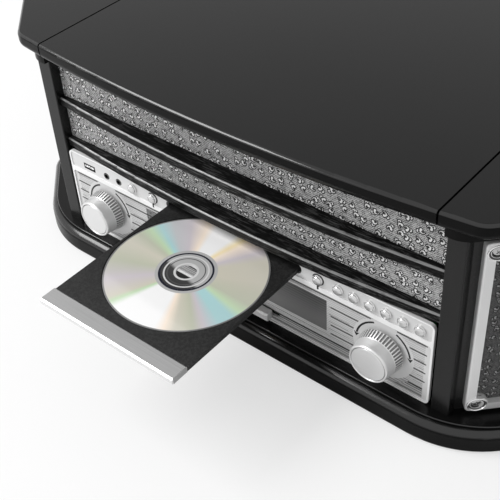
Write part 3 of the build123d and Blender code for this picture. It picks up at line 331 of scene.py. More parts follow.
def fascia_silver(name):
    """Silver fascia: its raised rims painted near white as a painted highlight, fine ribs over its
    field, and fine lines along its foot.
    """
    made, shader, place = new_material(name, grey(222), 0.4, 0.15)
    x, y, z = place.axes()
    rib_pitch, line_pitch, side_rim = 1.74 * MM, 2.3 * MM, 6.0 * MM
    foot, edge = FASCIA_LOW.z, FASCIA_HIGH.x - side_rim
    field = z.band(foot + 2.2 * MM, foot + 57.2 * MM)
    field = field * x.absolute().step(edge + 0.1 * MM, edge - 0.1 * MM)
    for node, _ in KNOBS:
        knob = middle(node)
        away = (x - knob.x).distance(z - knob.z)
        field = field * away.step(KNOB_CLEAR, KNOB_CLEAR + 0.3 * MM)
    sunk = y.step(FACE_Y + 0.3 * MM, FACE_Y + 0.6 * MM)
    channel = z.band(foot + 3.4 * MM, foot + 13.9 * MM)
    lines = z.wave(line_pitch).step(0.45, 0.85) * channel
    ribs = z.wave(rib_pitch) * field
    clouds = place.noise(12.0, 3.0)
    # The rims' front face is painted near white above the field's grey: a painted highlight.
    plain = sunk.mix(grey(244), clouds.mix(grey(211), grey(221)))
    ribbed = (ribs * sunk).mix(plain, grey(178))
    painted = (lines * 0.55 * field * sunk).mix(ribbed, grey(24))
    feed(shader, Base_Color=painted, Roughness=clouds * 0.08 + 0.36,
         Normal=place.bump(ribs, 0.00005, 0.5))
    return made


def bright_metal(name, level, rough):
    """Polished metal, very faintly smeared."""
    made, shader, place = new_material(name, grey(level), rough, 1.0)
    smear = place.noise(60.0, 2.0)
    feed(shader, Base_Color=smear.step(0.3, 0.7).mix(grey(level - 5), grey(level + 5)),
         Roughness=smear * 0.06 + (rough - 0.03), Normal=place.bump(smear, 0.000004, 0.3))
    return made


def knob_satin(name, back, outer, length):
    """Satin plated plastic: painted shade darkens it between the ribs, and a dark line of painted
    shade lies in the cap's groove.
    """
    made, shader, place = new_material(name, grey(222), 0.38, 0.62)
    x, y, z = place.axes()
    away = (x - back.x).distance(z - back.z)
    forward = back.y - y
    clouds = place.noise(30.0, 2.0)
    grip = (forward.step(GRIP_FRONT + 0.5 * MM, GRIP_FRONT + 0.1 * MM)
            * forward.step(GRIP_BACK - 0.3 * MM, GRIP_BACK - 0.1 * MM))
    taper = (GRIP_FRONT_INSIDE - GRIP_BACK_INSIDE) / (GRIP_FRONT - GRIP_BACK)
    crest = outer - GRIP_BACK_INSIDE - (forward - GRIP_BACK) * taper
    sunk = (away - crest).step(-0.3 * MM, -0.7 * MM)
    cap = forward.step(length - 1.2 * MM, length - 0.5 * MM)
    # The cap's groove is painted dark grey: painted shade.
    groove = away.band(outer - 4.75 * MM, outer - 4.3 * MM, 0.12 * MM) * cap
    # Between the ribs the grip is painted darker grey: painted shade.
    tone = (grip * sunk).mix(clouds.mix(grey(220), grey(230)), grey(140))
    feed(shader, Base_Color=groove.mix(tone, grey(60)), Roughness=clouds * 0.08 + 0.34,
         Normal=place.bump(away.wave(0.5 * MM) * cap, 0.000003, 0.3))
    return made


def brushed(name, level, rough, painted_reflection_level=None):
    """Brushed aluminium with hairlines across the unit; on the tray's bar, the front edge is painted
    paler as a painted reflection.
    """
    made, shader, place = new_material(name, grey(level), rough, 0.9)
    hair = place.stretched(12, 2600, 2600).noise(1.0, 3.0, 0.6)
    tone = hair.step(0.3, 0.7).mix(grey(level * 0.95), grey(level * 1.04))
    if painted_reflection_level is not None:
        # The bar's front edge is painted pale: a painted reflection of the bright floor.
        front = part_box("tray_bar")[0].y
        tone = place.axes()[1].step(front + 1.5 * MM, front + 1.1 * MM).mix(tone, grey(painted_reflection_level))
    feed(shader, Base_Color=tone, Roughness=hair * 0.12 + (rough - 0.06),
         Normal=place.bump(hair, 0.000012, 0.3))
    return made


def grained_plastic(name, level, rough=0.5, fineness=700.0, deep=0.00008):
    """Moulded plastic with a spark eroded grain."""
    made, shader, place = new_material(name, grey(level), rough, Specular_IOR_Level=0.3)
    grain = place.noise(fineness, 3.0, 0.6)
    patch = place.noise(25.0, 2.0)
    feed(shader, Base_Color=grain.step(0.4, 0.62).mix(grey(level * 0.7), grey(level * 1.35)),
         Roughness=patch * 0.12 + (rough - 0.06), Normal=place.bump(grain, deep, 0.6))
    return made


def smoked_window(name):
    """Smoked display window: dim lines of the display behind it; its tone darkens towards its right
    end and its top.
    """
    made, shader, place = new_material(name, grey(105), 0.2, Specular_IOR_Level=0.4)
    x, _, z = place.axes()
    along = x.step(WINDOW_LOW.x + 20 * MM, WINDOW_HIGH.x)
    rise = z.step(WINDOW_LOW.z + 8 * MM, WINDOW_HIGH.z - 2 * MM)
    drift = place.noise(9.0, 2.0)
    lines = z.wave(2.4 * MM).step(0.35, 0.95) * rise * place.stretched(30, 1, 500).noise(1.0)
    tone = (along * 0.55 + rise * 0.25 + drift * 0.1 + lines * 0.3).mix(grey(152), grey(58))
    feed(shader, Base_Color=tone, Roughness=drift * 0.1 + 0.14)
    return made


def disc_mirror(name):
    """Pressed disc: pale rainbow sectors and white flashes about its centre as a painted reflection, a
    dark ring, and a clear hub inside, painted dark on one side as a painted reflection.
    """
    made, shader, place = new_material(name, grey(200), 0.2, Coat_Weight=1.0, Coat_Roughness=0.03)
    x, y, _ = place.axes()
    dx, dy = x - DISC_MIDDLE.x, y - DISC_MIDDLE.y
    away = dx.distance(dy)
    angle = dx.maths("ARCTAN2", dy, dx) / (2 * math.pi) + 0.5
    cream, olive, lilac = (0.66, 0.63, 0.53), (0.55, 0.57, 0.45), (0.64, 0.59, 0.63)
    cyan, green, white = (0.44, 0.70, 0.72), (0.58, 0.76, 0.50), (1.0, 1.0, 1.0)
    peach, amber, mist = (1.0, 0.86, 0.72), (1.0, 0.84, 0.50), (0.58, 0.60, 0.62)
    # The rainbow sectors and white flashes round the centre stand for the disc's diffraction: a
    # painted reflection.
    painted_rainbow_reflection = angle.node("ValToRGB", {"stops": [
        (0.0, cream), (0.06, olive), (0.12, lilac), (0.175, cream), (0.188, green), (0.205, white),
        (0.306, white), (0.324, peach), (0.345, cream), (0.38, olive), (0.40, lilac), (0.43, cyan),
        (0.456, cyan), (0.474, green), (0.5, olive), (0.565, cream), (0.63, cream), (0.66, lilac),
        (0.70, peach), (0.715, amber), (0.738, white), (0.795, white), (0.815, peach),
        (0.855, lilac), (0.895, mist), (0.922, cyan), (0.944, green), (0.968, olive), (1.0, cream)]},
        {"Fac": angle})
    hub_edge, track_start, track_end = 20.1 * MM, 22.6 * MM, 58.8 * MM
    track = (away.step(23 * MM, 60 * MM) * 0.1).mix(painted_rainbow_reflection, grey(205))
    on_track = away.band(track_start, track_end, 0.3 * MM)
    rim = away.band(track_end, 61 * MM, 0.3 * MM)
    # The hub is painted dark on one side and pale on the other: a painted reflection.
    hub = (dy + dx * 0.25).step(-6 * MM, -2 * MM).mix(grey(58), grey(182))
    hub = away.step(hub_edge, hub_edge + 0.3 * MM).mix(hub, grey(184))
    for inner, outer, soft, colour in ((7.4, 9.2, 0.2, grey(215)), (13.4, 14.2, 0.2, grey(84)),
                                       (15.6, 16.8, 0.2, grey(216)),
                                       (18.7, 20.2, 0.25, (0.012, 0.014, 0.026))):
        hub = away.band(inner * MM, outer * MM, soft * MM).mix(hub, colour)
    tone = rim.mix(on_track.mix(hub, track), grey(120))
    feed(shader, Base_Color=tone, Roughness=0.26 - on_track * 0.06,
         Normal=place.bump(away.wave(0.9 * MM), 0.000002, 0.2))
    return made


def circuit_board(name):
    """Green solder mask with copper tracks under it."""
    made, shader, place = new_material(name, (0.02, 0.16, 0.05), 0.35, Coat_Weight=0.4)
    x, y, z = place.axes()
    cells = place.node("TexBrick", {"offset": 0.5}, {"Vector": place.vector(x, z, y), "Scale": 90.0,
                                                     "Mortar Size": 0.012}, out="Fac")
    feed(shader, Base_Color=cells.mix((0.03, 0.2, 0.06), (0.015, 0.1, 0.03)),
         Normal=place.bump(cells, 0.00004, 0.4))
    return made


# Modelling helpers
def deselect():
    """Leaves no object selected."""
    bpy.ops.object.select_all(action="DESELECT")


def only(obj):
    """Selects one object alone and makes it the active one."""
    deselect()
    obj.select_set(True)
    bpy.context.view_layer.objects.active = obj


def turned(centre, profile, sides, closed=True):
    """A turned solid on a front facing axis: a ring extruded along (depth, radius) steps."""
    same_radius, merge_within = 1e-7, 1e-6
    deselect()
    first_depth, first_radius = profile[0]
    centre = Vector(centre)
    start = (centre.x, centre.y + first_depth, centre.z)
    fill = "NGON" if closed else "NOTHING"
    bpy.ops.mesh.primitive_circle_add(vertices=sides, radius=first_radius, fill_type=fill,
                                      location=start, rotation=(math.pi / 2, 0, 0))
    made = bpy.context.object
    bpy.ops.object.transform_apply(location=True, rotation=True, scale=True)
    bpy.ops.object.mode_set(mode="EDIT")
    bpy.ops.mesh.select_mode(type="VERT")
    bpy.ops.mesh.select_all(action="SELECT")
    for (depth, radius), (next_depth, next_radius) in zip(profile, profile[1:]):
        bpy.ops.mesh.extrude_region_move(
            TRANSFORM_OT_translate={"value": (0, next_depth - depth, 0)})
        if abs(next_radius - radius) > same_radius:
            factor = next_radius / radius
            bpy.ops.transform.resize(value=(factor, 1, factor), center_override=centre)
    bpy.ops.mesh.select_all(action="SELECT")
    bpy.ops.mesh.remove_doubles(threshold=merge_within)
    bpy.ops.mesh.normals_make_consistent(inside=False)
    bpy.ops.object.mode_set(mode="OBJECT")
    return made


def pick_faces(obj, wanted):
    """Selects the faces that the test wants, and stays in edit mode in face select."""
    only(obj)
    bpy.ops.object.mode_set(mode="EDIT")
    bpy.ops.mesh.select_mode(type="FACE")
    bpy.ops.mesh.select_all(action="DESELECT")
    bpy.ops.object.mode_set(mode="OBJECT")
    for face in obj.data.polygons:
        face.select = wanted(face)
    bpy.ops.object.mode_set(mode="EDIT")


def pick_points(obj, wanted):
    """Selects the vertices that the test wants by place, and stays in edit mode."""
    only(obj)
    bpy.ops.object.mode_set(mode="EDIT")
    bpy.ops.mesh.select_mode(type="VERT")
    bpy.ops.mesh.select_all(action="DESELECT")
    bpy.ops.object.mode_set(mode="OBJECT")
    for point in obj.data.vertices:
        point.select = wanted(point.co)
    bpy.ops.object.mode_set(mode="EDIT")


def block(centre, size, bevel, segments):
    """A block with rounded edges, its size applied."""
    deselect()
    bpy.ops.mesh.primitive_cube_add(size=1, location=centre, scale=size)
    made = bpy.context.object
    bpy.ops.object.transform_apply(location=True, rotation=True, scale=True)
    bpy.ops.object.mode_set(mode="EDIT")
    bpy.ops.mesh.select_all(action="SELECT")
    bpy.ops.mesh.bevel(offset=bevel, segments=segments, affect="EDGES")
    bpy.ops.object.mode_set(mode="OBJECT")
    return made


def twin_of(obj, move):
    """A copy of a piece with its own mesh, placed by a matrix."""
    twin = obj.copy()
    twin.data = obj.data.copy()
    twin.matrix_world = move @ obj.matrix_world
    bpy.context.collection.objects.link(twin)
    return twin


def join(parts):
    """Joins pieces into the first of them."""
    deselect()
    for part in parts:
        part.select_set(True)
    bpy.context.view_layer.objects.active = parts[0]
    if len(parts) > 1:
        bpy.ops.object.join()
    return bpy.context.object


def finish_piece(obj, name, body, material, slot, *nodes):
    """Names a piece, applies its place, shades it, gives it its finish and body, and hides the CAD
    nodes that it stands in for.
    """
    only(obj)
    bpy.ops.object.transform_apply(location=True, rotation=True, scale=True)
    bpy.ops.object.shade_smooth_by_angle(angle=math.radians(35))
    obj.name = name
    obj.data.name = name
    obj.data.materials.clear()
    obj.data.materials.append(material)
    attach(obj, body)
    if nodes:
        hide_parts(*nodes)


def paint(material, *nodes):
    """Gives CAD nodes a material in place of the plain one."""
    for node in nodes:
        obj = NODES[node]
        if not obj.material_slots:
            obj.data.materials.append(material)
        for held in obj.material_slots:
            held.material = material


# Sizes and colours that a user may change
class FinishSettings(bpy.types.PropertyGroup):
    lid_level: IntProperty(name="Lid grey", description="Grey of the lid and caps, 0 to 255",
                           default=15, min=0, max=255)
    wood_level: IntProperty(name="Wood grey", description="Grey of the rails, 0 to 255",
                            default=12, min=0, max=255)
    curl: FloatProperty(name="Curl spacing", description="Distance between the cloth's curls",
                        default=0.0084, min=0.003, max=0.02, unit="LENGTH")
    twill: FloatProperty(name="Twill pitch", description="Distance between the cloth's ribs",
                         default=0.0018, min=0.0004, max=0.004, unit="LENGTH")


class ControlSettings(bpy.types.PropertyGroup):
    ribs: IntProperty(name="Ribs", description="Ribs round each knob's grip",
                      default=44, min=12, max=120)
    mark_width: FloatProperty(name="Mark width", description="Width of the printed arrows and rings",
                              default=0.0014, min=0.0003, max=0.003, unit="LENGTH")
    mask_width: FloatProperty(name="Mask width", description="Width of the window's masked left end",
                              default=0.025, min=0.005, max=0.08, unit="LENGTH")
    line_pitch: FloatProperty(name="Line pitch", description="Distance between the field's lines",
                              default=0.0087, min=0.004, max=0.012, unit="LENGTH")
    arrow_radius: FloatProperty(name="Arrow radius", description="Radius of the arrows by a knob",
                                default=0.0222, min=0.02, max=0.027, unit="LENGTH")


class StageSettings(bpy.types.PropertyGroup):
    camera_place: FloatVectorProperty(name="Camera place", description="Where the camera stands",
                                      default=(0.384635, -0.571822, 0.55389), subtype="XYZ",
                                      unit="LENGTH")
    camera_turn: FloatVectorProperty(
        name="Camera turn", description="Which way the camera looks",
        default=(math.radians(49.347), math.radians(3.032), math.radians(39.408)),
        subtype="EULER", unit="ROTATION")
    lens: FloatProperty(name="Lens", description="Focal length on a 36 mm sensor, in millimetres",
                        default=70.84, min=20, max=200, unit="CAMERA")
    key_power: FloatProperty(name="Key light", description="Power of the soft lamp, in watts",
                             default=38.0, min=0, unit="POWER")
    fill: FloatProperty(name="Room light", description="Strength of the light from all round",
                        default=0.5, min=0)
    floor_colour: FloatVectorProperty(name="Floor colour", description="Colour of the pale floor",
                                      default=(0.9, 0.9, 0.9), subtype="COLOR", min=0, max=1)


# Pieces
class MUSIC_OT_cabinet(bpy.types.Operator):
    """Gives the cabinet, lid, rails and plinth their black wood and lacquer"""
    bl_idname = "music.cabinet"
    bl_label = "Cabinet finishes"

    def execute(self, context):
        finish = context.scene.music_finish
        paint(satin_black("Lid lacquer", finish.lid_level, rough=0.22), "lid", "right_cap",
              "left_cap")
        paint(black_wood("Rail wood", "x", finish.wood_level), "lower_rail", "upper_rail")
        paint(satin_black("Post lacquer", 22, gloss=0.24), "corner_posts")
        paint(black_wood("Side wood", "y", 18, streak=44, rough=0.36, gloss=0.3),
              "right_speaker_box", "left_speaker_box")
        paint(satin_black("Plinth lacquer", 13, gloss=0.08, flat=0.15), "base_plinth",
              "bottom_board")
        paint(black_wood("Board wood", "x", 18, streak=40, rough=0.45), "front_baffle",
              "back_panel")
        paint(grained_plastic("Foot rubber", 20, rough=0.75, fineness=1500.0), "rubber_feet")
        paint(bright_metal("Hinge steel", 170, rough=0.32), "hinge_base_leaves",
              "hinge_lid_leaves")
        return {"FINISHED"}


class MUSIC_OT_cloth(bpy.types.Operator):
    """Gives the speaker cloths their twill and curls"""
    bl_idname = "music.cloth"
    bl_label = "Speaker cloth"

    def execute(self, context):
        finish = context.scene.music_finish
        paint(speaker_cloth("Front cloth", finish), "front_cloth")
        paint(speaker_cloth("Side cloth", finish, side=True), "side_cloths")
        return {"FINISHED"}


class MUSIC_OT_front(bpy.types.Operator):
    """Gives the fascia, its window, the grille frames, the sockets and the boards their finishes"""
    bl_idname = "music.front"
    bl_label = "Control front finishes"

    def execute(self, context):
        paint(fascia_silver("Fascia silver"), "control_fascia")
        paint(silver("Grille silver", 226), "right_grille_frame", "left_grille_frame")
        paint(smoked_window("Display window"), "display_lens")
        paint(grained_plastic("Socket black", 10, rough=0.3), "front_sockets", "mains_inlet",
              "line_sockets")
        paint(circuit_board("Board green"), "control_board", "main_board")
        return {"FINISHED"}


class MUSIC_OT_loader(bpy.types.Operator):
    """Gives the disc, its tray and the loader their finishes"""
    bl_idname = "music.loader"
    bl_label = "Disc loader finishes"

    def execute(self, context):
        paint(grained_plastic("Tray black", 27, fineness=560.0, deep=0.0003), "disc_tray")
        paint(brushed("Bar aluminium", 168, rough=0.36, painted_reflection_level=232), "tray_bar")
        paint(disc_mirror("Disc silver"), "disc")
        paint(grained_plastic("Chassis plastic", 36), "loader_chassis", "disc_clamp")
        paint(grained_plastic("Gear nylon", 225, rough=0.45), "loader_pinion")
        return {"FINISHED"}


class MUSIC_OT_deck(bpy.types.Operator):
    """Gives the turntable under the lid, the transformer and the speakers their finishes"""
    bl_idname = "music.deck"
    bl_label = "Turntable finishes"

    def execute(self, context):
        paint(grained_plastic("Deck plastic", 24, rough=0.42, fineness=1200.0), "deck_plate",
              "deck_brackets", "speed_switch", "tonearm_yoke", "tonearm_base")
        paint(brushed("Platter aluminium", 190, rough=0.32), "platter")
        paint(grained_plastic("Mat rubber", 20, rough=0.8, fineness=500.0), "platter_mat",
              "drive_belt")
        paint(bright_metal("Arm silver", 200, rough=0.25), "tonearm", "motor_pulley",
              "platter_motor", "power_transformer")
        paint(grained_plastic("Clip plastic", 60, rough=0.4), "arm_clip", "cue_lever")
        paint(grained_plastic("Speaker paper", 38, rough=0.8, fineness=300.0, deep=0.0002),
              "speakers")
        return {"FINISHED"}


class MUSIC_OT_knobs(bpy.types.Operator):
    """Turns both knobs: ribbed grip, plain barrel, bright rim, groove and flat cap"""
    bl_idname = "music.knobs"
    bl_label = "Knobs"

    def execute(self, context):
        faces_per_rib, rib_gap, rib_depth = 3, 0.1 * MM, 0.75 * MM
        sides = faces_per_rib * context.scene.music_controls.ribs
        # Millimetres forward of the back, or for the cap behind the nose, and inside the widest radius
        foot = ((0, 7.0), (1.6, 7.0), (1.7, 2.2), (1.9, 0.5))
        barrel = ((9.7, 1.95), (10.3, 2.05))
        cap = ((1.9, 2.5), (0.9, 2.7), (0.3, 3.0), (0, 3.5), (0.1, 4.0), (0.7, 4.3), (0.95, 4.5),
               (0.7, 4.7), (0.25, 4.95), (0.15, 5.6), (0.15, 12))
        for node, body in KNOBS:
            low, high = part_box(node)
            outer = (high.z - low.z) / 2
            length = high.y - low.y
            back = Vector(((low.x + high.x) / 2, high.y, (low.z + high.z) / 2))
            profile = [(-forward * MM, outer - inside * MM) for forward, inside in foot]
            profile += [(-GRIP_BACK, outer - GRIP_BACK_INSIDE),
                        (-GRIP_FRONT, outer - GRIP_FRONT_INSIDE)]
            profile += [(-forward * MM, outer - inside * MM) for forward, inside in barrel]
            profile += [(behind * MM - length, outer - inside * MM) for behind, inside in cap]
            knob = turned(back, profile, sides)

            def between_ribs(face):
                around = math.atan2(face.center.z - back.z, face.center.x - back.x)
                step = math.floor(around / (2 * math.pi / sides))
                on_grip = GRIP_BACK < back.y - face.center.y < GRIP_FRONT
                return on_grip and step % faces_per_rib != 0 and abs(face.normal.y) < 0.3

            pick_faces(knob, between_ribs)
            bpy.ops.mesh.inset(thickness=rib_gap, depth=-rib_depth)
            bpy.ops.object.mode_set(mode="OBJECT")
            finish_piece(knob, node + "_turned", body,
                         knob_satin("Knob satin " + body, back, outer, length), "chrome_knob", node)
        return {"FINISHED"}


def ring_band(centre, radius, width, lift, sides=72):
    """A thin flat ring on a front facing surface."""
    inner, outer = radius - width / 2, radius + width / 2
    return turned(centre, [(0, inner), (0, outer), (-lift, outer), (-lift, inner), (0, inner)],
                  sides, closed=False)


def arc_band(centre, radius, width, lift, start, end):
    """A part of a thin flat ring, between two angles in degrees, its ends closed."""
    band = ring_band(centre, radius, width, lift, sides=120)

    def outside(face):
        angle = math.degrees(math.atan2(face.center.z - centre[2], face.center.x - centre[0]))
        return not start < angle < end

    pick_faces(band, outside)
    bpy.ops.mesh.delete(type="FACE")
    bpy.ops.mesh.select_all(action="SELECT")
    bpy.ops.mesh.fill_holes(sides=4)
    bpy.ops.mesh.normals_make_consistent(inside=False)
    bpy.ops.object.mode_set(mode="OBJECT")
    return band


def arrow_head(centre, radius, lift, angle, clockwise):
    """A barbed head at the end of an arc, pointing along it."""
    reach, notch_depth, near = 2.6 * MM, 1.0 * MM, 0.3 * MM
    turn = math.radians(angle)
    tip = Vector((centre[0] + radius * math.cos(turn), centre[1] - lift / 2,
                  centre[2] + radius * math.sin(turn)))
    way = Vector((math.sin(turn), 0, -math.cos(turn))) * (1 if clockwise else -1)
    deselect()
    bpy.ops.mesh.primitive_cylinder_add(vertices=3, radius=reach, depth=lift, location=tip,
                                        rotation=(math.pi / 2, math.atan2(way.x, way.z), 0))
    head = bpy.context.object
    bpy.ops.object.transform_apply(location=True, rotation=True, scale=True)
    pick_faces(head, lambda face: abs(face.normal.y) < 0.5 and (face.center - tip).dot(way) < -near)
    bpy.ops.mesh.subdivide(number_cuts=1)
    bpy.ops.object.mode_set(mode="OBJECT")
    back_edge = tip - way * reach / 2
    pick_points(head, lambda point: (point - back_edge).length < near)
    bpy.ops.transform.translate(value=way * notch_depth)
    bpy.ops.object.mode_set(mode="OBJECT")
    return head


class MUSIC_OT_marks(bpy.types.Operator):
    """Prints the arrows round the knobs, the rings round two buttons and the bars under them"""
    bl_idname = "music.marks"
    bl_label = "Printed marks"

    def execute(self, context):
        controls = context.scene.music_controls
        width = controls.mark_width
        radius = controls.arrow_radius
        lift, sunk = 0.12 * MM, 0.02 * MM
        # Degrees at which each arc starts and ends and its head stands, and whether it is clockwise
        arrows = ((111, 172, 174, False), (8, 62, 6, True))
        ring_radius, bar_below, bar_deep, bar_tall = 4.5 * MM, 7.1 * MM, 0.9 * MM, 3.2 * MM
        parts = []
        for node, _ in KNOBS:
            at = middle(node)
            centre = (at.x, FIELD_Y + sunk, at.z)
            for start, end, head, clockwise in arrows:
                parts.append(arc_band(centre, radius, width, lift, start, end))
                parts.append(arrow_head(centre, radius, lift, head, clockwise))
        for node in RINGED:
            at = middle(node)
            parts.append(ring_band((at.x, STRIP_Y + sunk, at.z), ring_radius, width * 0.7, lift))
            parts.append(block((at.x, FACE_Y + 0.3 * MM, at.z - bar_below),
                               (width, bar_deep, bar_tall), 0.1 * MM, 2))
        finish_piece(join(parts), "panel_marks", "cabinet",
                     grained_plastic("Mark black", 16, rough=0.4), "black_plastic")
        return {"FINISHED"}


class MUSIC_OT_buttons(bpy.types.Operator):
    """Turns the push buttons: a low collar and a polished dome"""
    bl_idname = "music.buttons"
    bl_label = "Push buttons"

    def execute(self, context):
        # Millimetres behind the nose and inside the widest radius
        dome = ((2.1, 0.0), (1.9, 0.35), (1.8, 0.55), (1.3, 0.62), (0.85, 0.95), (0.5, 1.4),
                (0.22, 1.95), (0.06, 2.55), (0.0, 3.1))
        for node in ["mode_button"] + PRESETS + RINGED:
            low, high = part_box(node)
            at = middle(node)
            outer = (high.z - low.z) / 2
            profile = [(0, outer)]
            profile += [(low.y - high.y + behind * MM, outer - inside * MM)
                        for behind, inside in dome]
            button = turned((at.x, high.y, at.z), profile, 48)
            finish_piece(button, node + "_dome", BODY_OF[node],
                         bright_metal("Dome chrome " + node, 214, rough=0.17), "chrome_knob", node)
        return {"FINISHED"}


class MUSIC_OT_mask(bpy.types.Operator):
    """Masks the left end of the display window with a silver plate"""
    bl_idname = "music.mask"
    bl_label = "Window mask"

    def execute(self, context):
        left = WINDOW_LOW.x - 0.3 * MM
        right = WINDOW_LOW.x + context.scene.music_controls.mask_width + 0.1 * MM
        tall, deep = WINDOW_HIGH.z - WINDOW_LOW.z + 0.4 * MM, 1.7 * MM
        plate = block(((left + right) / 2, FIELD_Y + deep / 2, (WINDOW_LOW.z + WINDOW_HIGH.z) / 2),
                      (right - left, deep, tall), 0.15 * MM, 2)
        finish_piece(plate, "display_mask", "cabinet", fascia_silver("Mask silver"),
                     "silver_plastic")
        return {"FINISHED"}


class MUSIC_OT_lines(bpy.types.Operator):
    """Prints the dark lines across the field, clear of the knobs and the window"""
    bl_idname = "music.lines"
    bl_label = "Field lines"

    def execute(self, context):
        controls = context.scene.music_controls
        rows, first_below, window_margin = 6, 21.9 * MM, 1.5 * MM
        window = (WINDOW_LOW.x + controls.mask_width + 0.6 * MM, WINDOW_HIGH.x + 0.5 * MM)
        end = FASCIA_HIGH.x - 4.5 * MM
        parts = []
        for row in range(rows):
            in_channel = row == rows - 1
            up = FASCIA_HIGH.z - first_below - row * controls.line_pitch
            floor = FIELD_Y + (0.8 * MM if in_channel else 0.0)
            thick = (1.3 if in_channel else 0.95) * MM
            gaps = [(end, end)]
            for node, _ in KNOBS:
                knob = middle(node)
                if abs(up - knob.z) < KNOB_CLEAR:
                    half = math.sqrt(KNOB_CLEAR ** 2 - (up - knob.z) ** 2)
                    gaps.append((knob.x - half, knob.x + half))
            if WINDOW_LOW.z - window_margin < up < WINDOW_HIGH.z + window_margin:
                gaps.append(window)
            start = -end
            for left, right in sorted(gaps):
                if left - start > 2 * MM:
                    parts.append(block(((start + left) / 2, floor, up),
                                       (left - start, 0.24 * MM, thick), 0.06 * MM, 1))
                start = right
        finish_piece(join(parts), "field_lines", "cabinet",
                     grained_plastic("Line black", 22, rough=0.4), "black_plastic")
        return {"FINISHED"}


class MUSIC_OT_slider(bpy.types.Operator):
    """Adds the slider's rounded knob with its ridge, on a stem"""
    bl_idname = "music.slider"
    bl_label = "Slider knob"

    def execute(self, context):
        low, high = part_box("function_slider")
        at = middle("function_slider")
        knob_deep, overlap = 6.8 * MM, 0.6 * MM
        knob = block((at.x, low.y + knob_deep / 2, at.z),
                     (high.x - low.x, knob_deep, high.z - low.z), 1.3 * MM, 4)
        pick_faces(knob, lambda face: face.normal.y < -0.99)
        bpy.ops.mesh.inset(thickness=0.5 * MM, depth=-0.25 * MM)
        bpy.ops.mesh.inset(thickness=0.25 * MM, depth=0.35 * MM)
        bpy.ops.object.mode_set(mode="OBJECT")
        stem_front = low.y + knob_deep - overlap
        stem = block((at.x, (stem_front + high.y) / 2, at.z),
                     (8 * MM, high.y - stem_front, 2.6 * MM), 0.2 * MM, 2)
        finish_piece(join([knob, stem]), "slider_knob", "selector",
                     silver("Slider silver", 208, rough=0.3, metal=0.5), "silver_plastic",
                     "function_slider")
        return {"FINISHED"}


def grille_corners():
    """Each grille screw's place on its frame's face, its way out, its turn and its cross's tilt."""
    frame_half, screw_inset, side_inset = 3.0 * MM, 7.5 * MM, 3.0 * MM
    corners = []
    for side, node in ((1, "right_grille_frame"), (-1, "left_grille_frame")):
        low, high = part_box(node)
        at = middle(node)
        reach = (high.x - low.x) * DIAGONAL - side_inset - screw_inset
        tall = (high.z - low.z) / 2 - screw_inset
        outward = Vector((side * DIAGONAL, -DIAGONAL, 0))
        along = Vector((side * DIAGONAL, DIAGONAL, 0))
        turn = Matrix.Rotation(side * math.pi / 4, 4, "Z")
        for u in (-reach, reach):
            for v in (-tall, tall):
                face = at + outward * frame_half + along * u + Vector((0, 0, v))
                own_angle = u * 90 + v * 7
                tilt = Matrix.Rotation(own_angle, 4, "Y")
                corners.append((face, outward, turn, tilt))
    return corners


class MUSIC_OT_screws(bpy.types.Operator):
    """Adds the cross head screws of both grilles"""
    bl_idname = "music.screws"
    bl_label = "Grille screws"

    def execute(self, context):
        # Depths and radii in millimetres
        shank = ((13.5, 1.2), (13, 1.7), (1.0, 1.7))
        head = ((0.9, 3.7), (0.4, 3.8), (-0.1, 3.2), (-0.4, 2.2), (-0.5, 0.8))
        slot_long, slot_wide, slot_deep = 3.6 * MM, 0.8 * MM, 1.5 * MM
        screw = turned((0, 0, 0), [(depth * MM, radius * MM) for depth, radius in shank + head], 40)
        for size in ((slot_long, slot_deep, slot_wide), (slot_wide, slot_deep, slot_long)):
            arm = block((0, 0, 0), size, 0.1 * MM, 1)
            only(screw)
            cut = screw.modifiers.new("Cross", "BOOLEAN")
            cut.operation = "DIFFERENCE"
            cut.solver = "EXACT"
            cut.object = arm
            bpy.ops.object.modifier_apply(modifier=cut.name)
            bpy.data.objects.remove(arm)
        proud = 0.5 * MM
        copies = [twin_of(screw, Matrix.Translation(face - outward * proud) @ turn @ tilt)
                  for face, outward, turn, tilt in grille_corners()]
        bpy.data.objects.remove(screw)
        finish_piece(join(copies), "cross_screws", "cabinet",
                     bright_metal("Screw steel", 190, rough=0.2), "steel_parts", "grille_screws")
        return {"FINISHED"}


class MUSIC_OT_bosses(bpy.types.Operator):
    """Adds the raised rim round each grille screw, and inside it a dark cup that stands for the shade
    in the boss: painted shade.
    """
    bl_idname = "music.bosses"
    bl_label = "Screw bosses"

    def execute(self, context):
        # Depths and radii in millimetres
        rim = ((2.2, 5.8), (-0.5, 5.8), (-1.3, 6.2), (-1.5, 6.6), (-1.2, 7.0), (2.2, 7.3),
               (2.2, 5.8))
        # The dark cup stands for the shade inside each dished boss: painted shade.
        cup = ((2.2, 4.1), (-0.1, 4.1), (-0.3, 4.6), (-1.0, 5.9), (2.2, 5.9), (2.2, 4.1))
        flatter = Matrix.Diagonal((1, 1, 0.85, 1))
        for outline, name, made in (
                (rim, "boss_rims", silver("Rim silver", 235, rough=0.2, metal=0.85)),
                (cup, "boss_cups", bright_metal("Cup painted shade", 84, rough=0.3))):
            piece = turned((0, 0, 0), [(depth * MM, radius * MM) for depth, radius in outline], 48,
                           closed=False)
            rings = [twin_of(piece, Matrix.Translation(face) @ turn @ flatter)
                     for face, _, turn, _ in grille_corners()]
            bpy.data.objects.remove(piece)
            finish_piece(join(rings), name, "cabinet", made, "silver_plastic")
        return {"FINISHED"}


